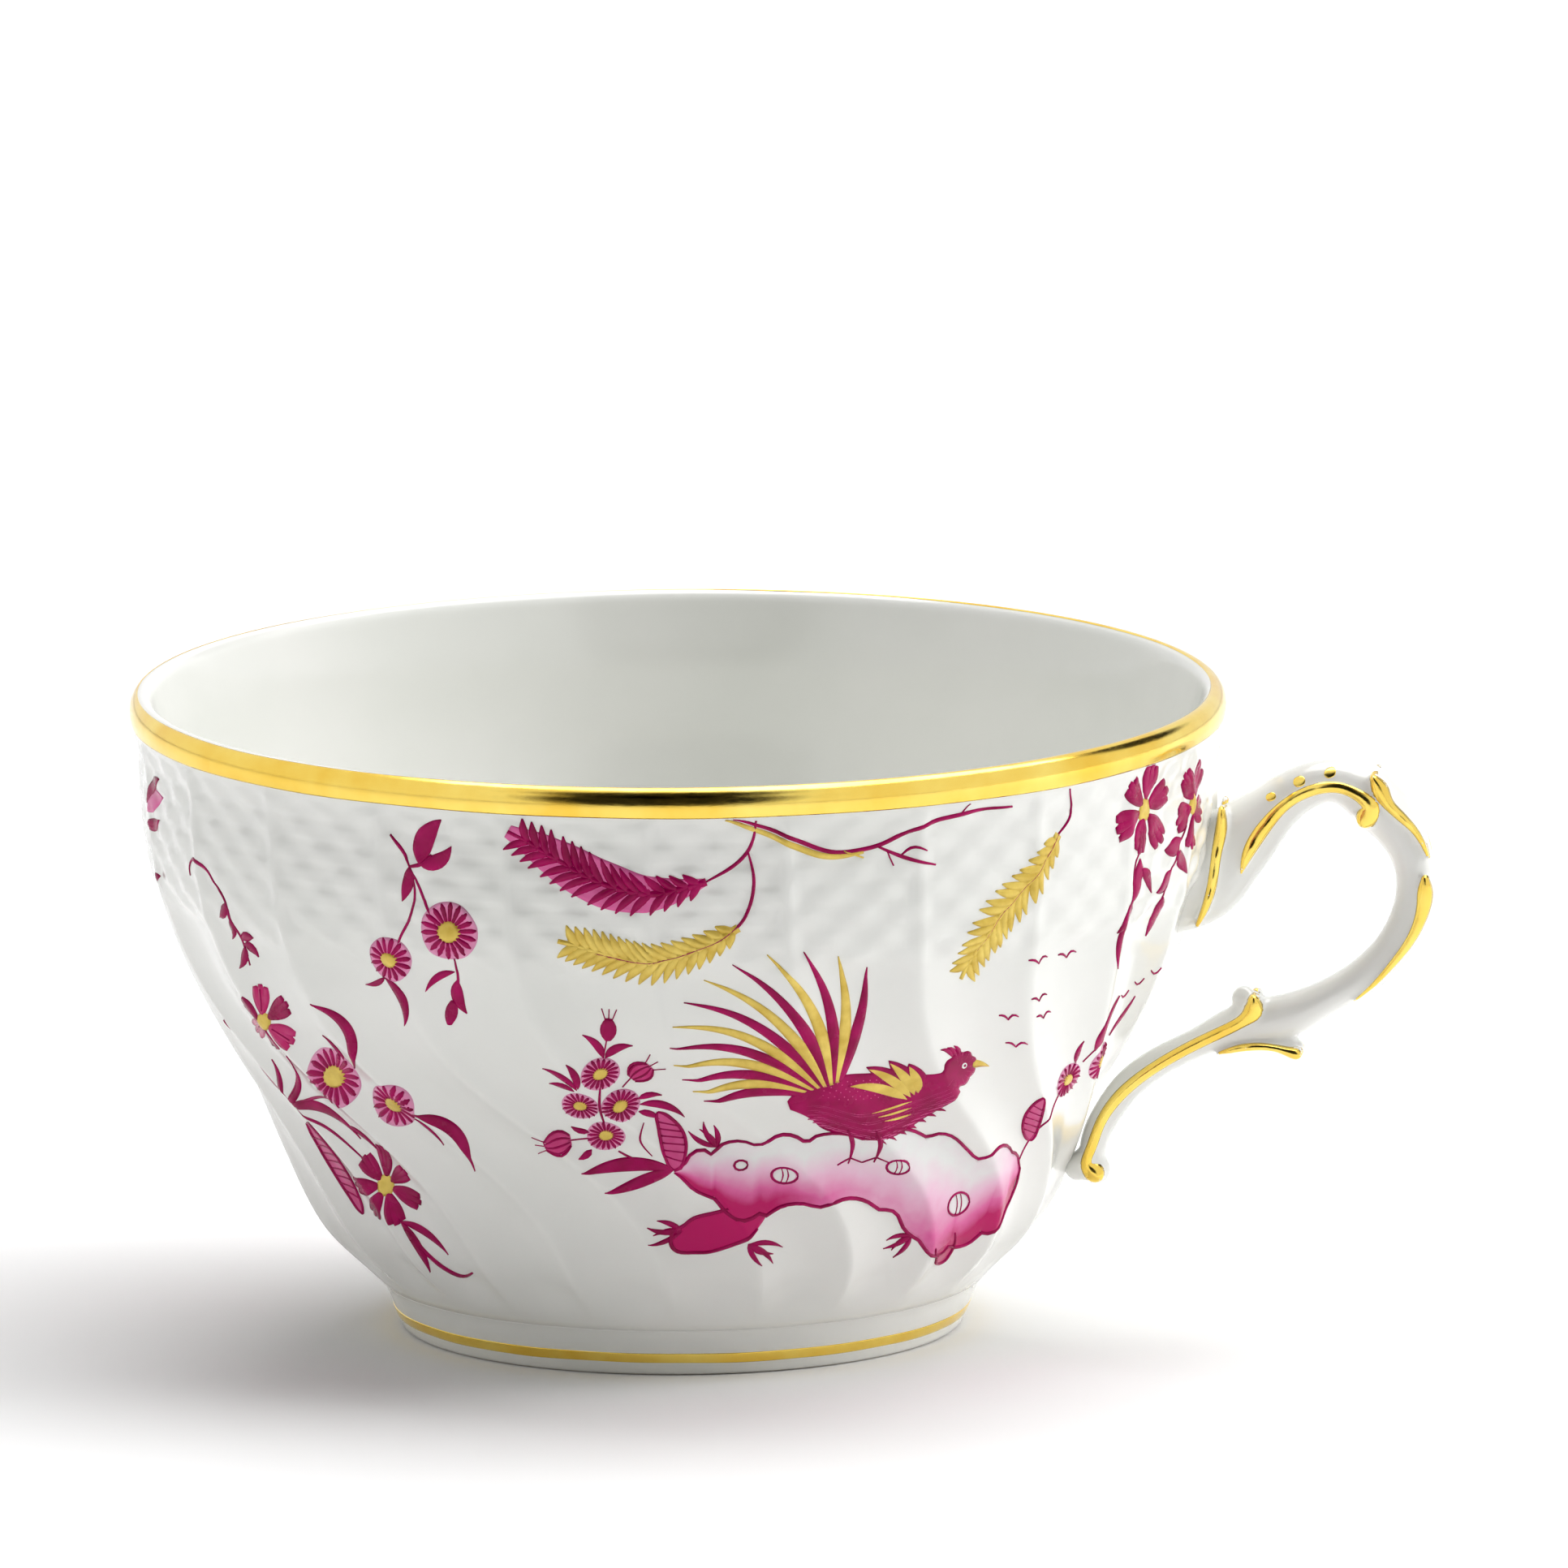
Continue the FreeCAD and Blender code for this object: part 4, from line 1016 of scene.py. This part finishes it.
def garden_rock(p):
    """A generic pierced garden rock: a lobed wash, dark scalloped outline and pebbles."""
    at = p.at
    upper = ((-0.8, 20.4), (2.6, 21.6), (7.0, 22.2), (13.0, 22.9), (20.0, 22.4), (27.0, 22.6),
             (34.0, 22.0), (40.5, 20.8), (45.0, 19.2), (50.0, 18.8), (55.5, 18.4), (59.5, 16.6))
    lower = ((-0.8, 20.2), (3.4, 18.6), (6.0, 17.3), (10.5, 16.0), (16.0, 16.4), (22.0, 16.9),
             (28.5, 16.2), (34.0, 14.6), (39.0, 12.0), (45.0, 10.4), (51.5, 10.6), (59.0, 13.6))
    count, lanes = 191, 31
    top = smooth_path([at(*c) for c in upper], count)
    bottom = smooth_path([at(*c) for c in lower], count)
    share = np.linspace(0, 1, count)
    ease = smoothstep(0.0, 0.05, share) * (1 - smoothstep(0.95, 1.0, share))

    def scallops(unevenness, pace):
        return np.abs(np.sin(np.pi * (8.0 * share + unevenness * np.sin(pace * share)))) ** 0.55

    top[:, 1] += 1.25 * (scallops(0.5, 5) - 0.3) * ease
    hang = scallops(0.25, 7)
    arch = smoothstep(0.22, 0.26, share) * (1 - smoothstep(0.56, 0.6, share))
    bottom[:, 1] -= 1.05 * (hang * (1 - 2 * arch) + 1.1 * arch - 0.3) * ease
    lane = np.linspace(0, 1, lanes)
    uv = bottom[:, None] * (1 - lane[None, :, None]) + top[:, None] * lane[None, :, None]
    depth = np.clip(1.2 - 1.5 * lane, 0, 1) ** 1.1
    ends = 0.55 * np.exp(-share / 0.06)[:, None] + 0.8 * np.exp(-(1 - share) / 0.07)[:, None]
    tone = np.clip(depth[None, :] * (0.75 + 0.25 * np.sin(9 * share)[:, None]) + ends, 0, 1)
    p.grid(uv.reshape(-1, 2), count, lanes, WASH, (0.95 * tone).reshape(-1))
    p.line([*top[:-1:3], top[-1]], 0.17, out=OVER)
    p.line([*bottom[:-1:3], bottom[-1]], 0.19, out=OVER)
    p.line((top[-1], (top[-1] + bottom[-1]) / 2 + (0.5, 0), bottom[-1]), 0.17, out=OVER)
    # a long deep lobe that hangs at the left and a drip at the right
    lobes = (((12.4, 18.8, 0.7), (11.0, 17.2, 1.5), (8.4, 15.5, 1.8), (5.2, 14.4, 1.95),
              (2.4, 13.8, 1.85), (0.8, 13.6, 1.4)),
             ((43.6, 13.0, 0.8), (45.2, 11.4, 1.5), (46.6, 10.2, 1.4), (47.4, 9.2, 1.0)))
    for stations in lobes:
        lobe = smooth_path([(*at(theta, z), half) for theta, z, half in stations], 26)
        spine, half, end = lobe[:, :2], lobe[:, 2:], lobe[-1, 2]
        way = headings(spine)
        side = left_of(way)
        closing = [spine[-1] + end * (way[-1] * math.cos(a) + side[-1] * math.sin(a))
                   for a in np.radians((60, 30, 0, -30, -60))]
        rim = [*(spine + side * half)[::2], *closing, *(spine - side * half)[::-2]]
        p.stroke([*lobe[::2], (*(spine[-1] + way[-1] * end * 0.6), end * 0.75),
                  (*(spine[-1] + way[-1] * end * 0.97), end * 0.2)], WASH, 0.97, -0.022)
        p.line(rim[5:-5], 0.17, out=OVER)
    for theta, z, radius in ((8.4, 20.6, 0.62), (14.6, 19.6, 1.15), (31.6, 19.6, 1.05),
                             (46.0, 14.6, 1.45)):
        centre = at(theta, z)
        edge = [centre + radius * heading(a) * (1, 0.82) for a in np.radians(np.arange(0, 361, 24))]
        p.disc(centre, radius, WASH, 0.02, 0.03, 0.82)
        p.line(edge, 0.14, out=OVER)
        if radius > 0.8:
            for shift in (-0.25, 0.15):
                p.line((centre + (shift * radius, -0.7 * radius),
                        centre + ((shift + 0.14) * radius, 0.0),
                        centre + (shift * radius, 0.7 * radius)), 0.11, out=OVER)
    for theta, z, way, size in ((0.2, 14.4, 3.05, 3.0), (10.0, 13.4, -0.7, 3.2),
                                (37.6, 12.4, 3.7, 3.0), (5.0, 22.4, 2.1, 3.0)):
        p.grass(at(theta, z), way, size, 4)


def handle_spray(p):
    """Daisies and a striped leaf that climb beside the handle."""
    at = p.at
    p.line([at(58.5, 17.2), at(59.4, 20.6), at(62.0, 23.0)], 0.13)
    p.striped_leaf(at(59.2, 19.2), at(55.2, 24.0), 1.1, 0.1, 5)
    p.daisy(at(62.8, 24.3), 2.0, 15)
    p.daisy(at(69.0, 25.6), 2.1, 15)
    p.line([at(63.6, 26.0), at(64.2, 28.4)], 0.12)
    p.leaf(at(64.0, 27.2), at(64.6, 32.0), 0.8, 0.1)
    p.leaf(at(62.0, 26.0), at(60.2, 28.4), 0.4, 0.1)
    p.leaf(at(69.5, 27.6), at(71.4, 31.0), 0.5, -0.1)
    for theta, z in ((67.0, 31.6), (70.0, 32.4), (73.0, 33.2)):
        u, v = at(theta, z)
        p.line(((u - 0.9, v + 0.3), (u, v - 0.2), (u + 0.9, v + 0.4)), 0.12)


# name: (how it is painted, its turn about the cup, its main finish)
PAINTED = {
    "left_spray_enamel": (left_spray, 0.0, "magenta_enamel"),
    "hanging_spray_enamel": (hanging_spray, 0.0, "magenta_enamel"),
    "feather_pair_enamel": (feather_pair, 0.0, "magenta_enamel"),
    "twig_enamel": (twig, 0.0, "magenta_enamel"),
    "gilt_feather_enamel": (gilt_feather, 0.0, "gilt_enamel"),
    "rim_spray_enamel": (rim_spray, 0.0, "magenta_enamel"),
    "distant_birds_enamel": (distant_birds, 0.0, "magenta_enamel"),
    "bouquet_enamel": (bouquet, 0.0, "magenta_enamel"),
    "bird_enamel": (song_bird, 0.0, "magenta_enamel"),
    "rock_enamel": (garden_rock, 0.0, "rose_wash"),
    "handle_spray_enamel": (handle_spray, 0.0, "magenta_enamel"),
    # the back repeats the same hand's motifs, turned about the cup to places of their own
    "back_left_spray_enamel": (handle_spray, 52.0, "magenta_enamel"),
    "back_feather_enamel": (gilt_feather, 96.0, "magenta_enamel"),
    "back_bird_enamel": (song_bird, 150.0, "magenta_enamel"),
    "back_rock_enamel": (garden_rock, 150.0, "rose_wash"),
    "back_bouquet_enamel": (bouquet, 222.0, "magenta_enamel"),
    "back_hanging_spray_enamel": (hanging_spray, 232.0, "magenta_enamel"),
    "back_right_spray_enamel": (left_spray, 308.0, "magenta_enamel"),
}


def paint_cup():
    for name, (motif, turn, slot) in PAINTED.items():
        painting = Painting(turn)
        motif(painting)
        painting.piece(name, slot)


# ---------------------------------------------------------------- materials
def linear(r, g, b):
    """Display colours 0 to 255 as the linear values that shaders take."""
    values = [c / 255 for c in (r, g, b)]
    return tuple(c / 12.92 if c <= 0.04045 else ((c + 0.055) / 1.055) ** 2.4 for c in values) + (1.0,)


FINISHES = {}


def noise(tree, scale, detail=3.0, stretch=(1, 1, 1)):
    """A noise texture in object space, at a scale in waves per metre."""
    where = tree.nodes.new("ShaderNodeTexCoord")
    mapping = tree.nodes.new("ShaderNodeMapping")
    mapping.inputs["Scale"].default_value = stretch
    texture = tree.nodes.new("ShaderNodeTexNoise")
    texture.inputs["Scale"].default_value = scale
    texture.inputs["Detail"].default_value = detail
    tree.links.new(where.outputs["Object"], mapping.inputs["Vector"])
    tree.links.new(mapping.outputs["Vector"], texture.inputs["Vector"])
    return texture.outputs["Fac"]


def ramp(tree, value, stops):
    """A colour that runs through (place, display colour) stops."""
    node = tree.nodes.new("ShaderNodeValToRGB")
    elements = node.color_ramp.elements
    while len(elements) < len(stops):
        elements.new(0.5)
    for element, (place, colour) in zip(elements, stops):
        element.position = place
        element.color = linear(*colour)
    tree.links.new(value, node.inputs["Fac"])
    return node.outputs["Color"]


def spread(tree, value, low, high):
    """Maps a 0.3 to 0.7 noise value onto a range."""
    node = tree.nodes.new("ShaderNodeMapRange")
    for name, limit in (("From Min", 0.3), ("From Max", 0.7), ("To Min", low), ("To Max", high)):
        node.inputs[name].default_value = limit
    tree.links.new(value, node.inputs["Value"])
    return node.outputs["Result"]


def brush_tone(tree, grain):
    """How strong the paint is at a point, with a little grain."""
    tone = tree.nodes.new("ShaderNodeAttribute")
    tone.attribute_name = "tone"
    total = tree.nodes.new("ShaderNodeMath")
    total.operation = "MULTIPLY_ADD"
    total.inputs[1].default_value = 0.16
    tree.links.new(grain, total.inputs[0])
    tree.links.new(tone.outputs["Fac"], total.inputs[2])
    return total.outputs["Value"]


def finish(name, grain, shades, numbers=(), roughness=None, skin=None, toned=False):
    """The material of this name, made once: noise drives its colour, roughness and fine relief.

    grain is the colour's noise (scale, detail) and shades its stops; roughness is (noise, low, high);
    skin is (noise, depth, strength); numbers are (socket, value) pairs.
    """
    if name in FINISHES:
        return FINISHES[name]
    material = FINISHES[name] = bpy.data.materials.new(name + "_finish")
    material.use_nodes = True
    tree = material.node_tree
    shader = tree.nodes["Principled BSDF"]
    value = noise(tree, *grain)
    if toned:
        value = brush_tone(tree, value)
    tree.links.new(ramp(tree, value, shades), shader.inputs["Base Color"])
    for socket, number in numbers:
        shader.inputs[socket].default_value = number
    if roughness:
        texture, low, high = roughness
        tree.links.new(spread(tree, noise(tree, *texture), low, high), shader.inputs["Roughness"])
    if skin:
        texture, depth, strength = skin
        bump = tree.nodes.new("ShaderNodeBump")
        bump.inputs["Distance"].default_value = depth
        bump.inputs["Strength"].default_value = strength
        tree.links.new(noise(tree, *texture), bump.inputs["Height"])
        tree.links.new(bump.outputs["Normal"], shader.inputs["Normal"])
    return material


def glaze(name):
    """Hard white porcelain under a clear glaze that pools and waves very slightly."""
    return finish(name, (60,), ((0.3, (237, 238, 233)), (0.7, (243, 243, 239))),
                  (("IOR", 1.5), ("Coat Weight", 0.35), ("Coat Roughness", 0.05)),
                  ((220,), 0.1, 0.17), ((420, 2.0), 0.00004, 0.35))


def bare_clay():
    """The unglazed, finely ground land of the foot."""
    return finish("bare_clay", (900, 6.0), ((0.35, (214, 208, 198)), (0.65, (234, 230, 222))),
                  (("Roughness", 0.85),), skin=((2600, 5.0), 0.00005, 0.8))


def burnished_gold(name):
    """Burnished gold with fine rubbing marks and soft thin places."""
    return finish(name, (160, 5.0), ((0.3, (244, 200, 78)), (0.7, (254, 226, 118))),
                  (("Metallic", 1.0),), ((700, 4.0, (1, 1, 6)), 0.1, 0.2),
                  ((900, 4.0, (1, 1, 5)), 0.00002, 0.35))


def painted_gold():
    """Flat yellow gold laid on with a brush, a little thin between strokes."""
    return finish("painted_gold", (650, 4.0), ((0.3, (212, 178, 66)), (0.7, (240, 212, 104))),
                  (("Metallic", 0.25),), ((900,), 0.3, 0.45), ((1800, 3.0), 0.00003, 0.5))


def magenta_enamel():
    """Dark magenta enamel, denser where the brush stopped, glossy from the firing."""
    return finish("magenta_enamel", (420, 5.0), ((0.3, (140, 0, 66)), (0.7, (178, 4, 94))),
                  (("Specular IOR Level", 0.14),), ((600,), 0.18, 0.3), ((1600, 3.0), 0.00003, 0.4))


def rose_wash():
    """Thinned enamel: from the white of the glaze through rose to deep magenta."""
    return finish("rose_wash", (700, 5.0), ((0.08, (238, 239, 237)), (0.4, (242, 196, 220)),
                                            (0.75, (228, 108, 168)), (1.0, (194, 12, 100))),
                  (("Specular IOR Level", 0.2),), ((600,), 0.14, 0.24), toned=True)


def paper():
    """The pale, slightly fibrous floor."""
    return finish("paper", (12,), ((0.3, (250, 250, 250)), (0.7, (254, 254, 254))),
                  (("Roughness", 0.9), ("Specular IOR Level", 0.1)))


# ---------------------------------------------------------------- stage, lights and camera
VIEW_TURN = 5.0
VIEW_RISE = 10.8
CAMERA_DISTANCE = 4.0
VIEW_WIDTH = 0.1374  # what the frame takes in at the cup's axis
AIM_RIGHT = 0.00925
AIM_HEIGHT = 0.04783
ROLL = 0.4
ROOM_LEVEL = 0.22  # how much the pale room lights what is matt
ROOM_GLOSS = 0.95  # and how bright it is in reflections
GAP_LEVEL = 0.02  # what is left of the room's light in the middle of a dark gap
# dark gaps between the panels: (turn to the right, rise, inner and outer half angle), degrees
DARK_PANELS = ((-4.0, 22.0, 20.0, 32.0), (-4.0, 52.0, 14.0, 26.0), (132.0, 30.0, 9.0, 17.0))


def direction(turn, rise):
    """A unit direction, by degrees to the right of the front and above the horizon."""
    a, e = math.radians(turn), math.radians(rise)
    return Vector((math.sin(a) * math.cos(e), -math.cos(a) * math.cos(e), math.sin(e)))


def camera():
    """A long lens, nearly square-on, that looks slightly down on the cup."""
    back = direction(VIEW_TURN, VIEW_RISE)
    aim = direction(VIEW_TURN + 90, 0) * AIM_RIGHT + Vector((0, 0, AIM_HEIGHT))
    data = bpy.data.cameras.new("camera")
    data.lens = data.sensor_width * CAMERA_DISTANCE / VIEW_WIDTH
    data.clip_end = 50.0
    eye = bpy.data.objects.new("camera", data)
    bpy.context.scene.collection.objects.link(eye)
    eye.location = aim + back * CAMERA_DISTANCE
    eye.rotation_mode = "QUATERNION"
    level = (-back).to_track_quat("-Z", "Y")
    eye.rotation_quaternion = level @ Matrix.Rotation(math.radians(-ROLL), 4, "Z").to_quaternion()
    bpy.context.scene.camera = eye


def floor():
    """A plain floor, wide enough to run past the view."""
    half, z = 3.0, cad_box[0].z
    mesh = bpy.data.meshes.new("floor")
    mesh.from_pydata([(-half, -half, z), (half, -half, z), (half, half, z), (-half, half, z)], [],
                     [(0, 1, 2, 3)])
    mesh.materials.append(paper())
    sheet = bpy.data.objects.new("floor", mesh)
    bpy.context.scene.collection.objects.link(sheet)


def area_light(name, place, size, power, mirrored=False, target=(0, 0, 0.03)):
    """A soft box aimed at the cup, seen in reflections only if mirrored."""
    data = bpy.data.lights.new(name, "AREA")
    data.shape = "RECTANGLE"
    data.size, data.size_y = size
    data.energy = power
    lamp = bpy.data.objects.new(name, data)
    bpy.context.scene.collection.objects.link(lamp)
    lamp.location = place
    lamp.visible_glossy = mirrored
    lamp.rotation_mode = "QUATERNION"
    lamp.rotation_quaternion = (Vector(target) - Vector(place)).to_track_quat("-Z", "Y")


def studio():
    """Soft boxes at the left, the right and overhead, in a pale room with a few dark gaps."""
    world = bpy.data.worlds.new("room")
    bpy.context.scene.world = world
    world.use_nodes = True
    tree = world.node_tree
    background = tree.nodes["Background"]
    where = tree.nodes.new("ShaderNodeTexCoord")
    seen = tree.nodes.new("ShaderNodeLightPath")
    level = tree.nodes.new("ShaderNodeMix")
    tree.links.new(seen.outputs["Is Glossy Ray"], level.inputs[0])
    level.inputs[2].default_value = ROOM_LEVEL
    level.inputs[3].default_value = ROOM_GLOSS
    strength = level.outputs[0]
    for turn, rise, inner, outer in DARK_PANELS:
        facing_panel = tree.nodes.new("ShaderNodeVectorMath")
        facing_panel.operation = "DOT_PRODUCT"
        facing_panel.inputs[1].default_value = direction(VIEW_TURN + turn, rise)
        tree.links.new(where.outputs["Generated"], facing_panel.inputs[0])
        panel = tree.nodes.new("ShaderNodeMapRange")
        panel.interpolation_type = "SMOOTHSTEP"
        panel.inputs["From Min"].default_value = math.cos(math.radians(outer))
        panel.inputs["From Max"].default_value = math.cos(math.radians(inner))
        panel.inputs["To Min"].default_value = 1.0
        panel.inputs["To Max"].default_value = GAP_LEVEL
        tree.links.new(facing_panel.outputs["Value"], panel.inputs["Value"])
        product = tree.nodes.new("ShaderNodeMath")
        product.operation = "MULTIPLY"
        tree.links.new(strength, product.inputs[0])
        tree.links.new(panel.outputs["Result"], product.inputs[1])
        strength = product.outputs["Value"]
    backdrop = tree.nodes.new("ShaderNodeMix")
    tree.links.new(seen.outputs["Is Camera Ray"], backdrop.inputs[0])
    tree.links.new(strength, backdrop.inputs[2])
    backdrop.inputs[3].default_value = 1.0
    background.inputs["Color"].default_value = (1, 1, 1, 1)
    tree.links.new(backdrop.outputs[0], background.inputs["Strength"])
    area_light("left_box", (-1.5, -0.7, 0.7), (0.5, 1.0), 4)
    area_light("right_box", (1.5, 0.1, 0.9), (0.9, 1.1), 16.5)
    area_light("top_box", (0.2, 0.5, 1.7), (1.8, 1.5), 31, True)
    bpy.context.scene.view_settings.view_transform = "Standard"


camera()
bowl()
foot_ring()
rim_gilding()
foot_gilding()
handle_gilding(handle())
paint_cup()
floor()
studio()
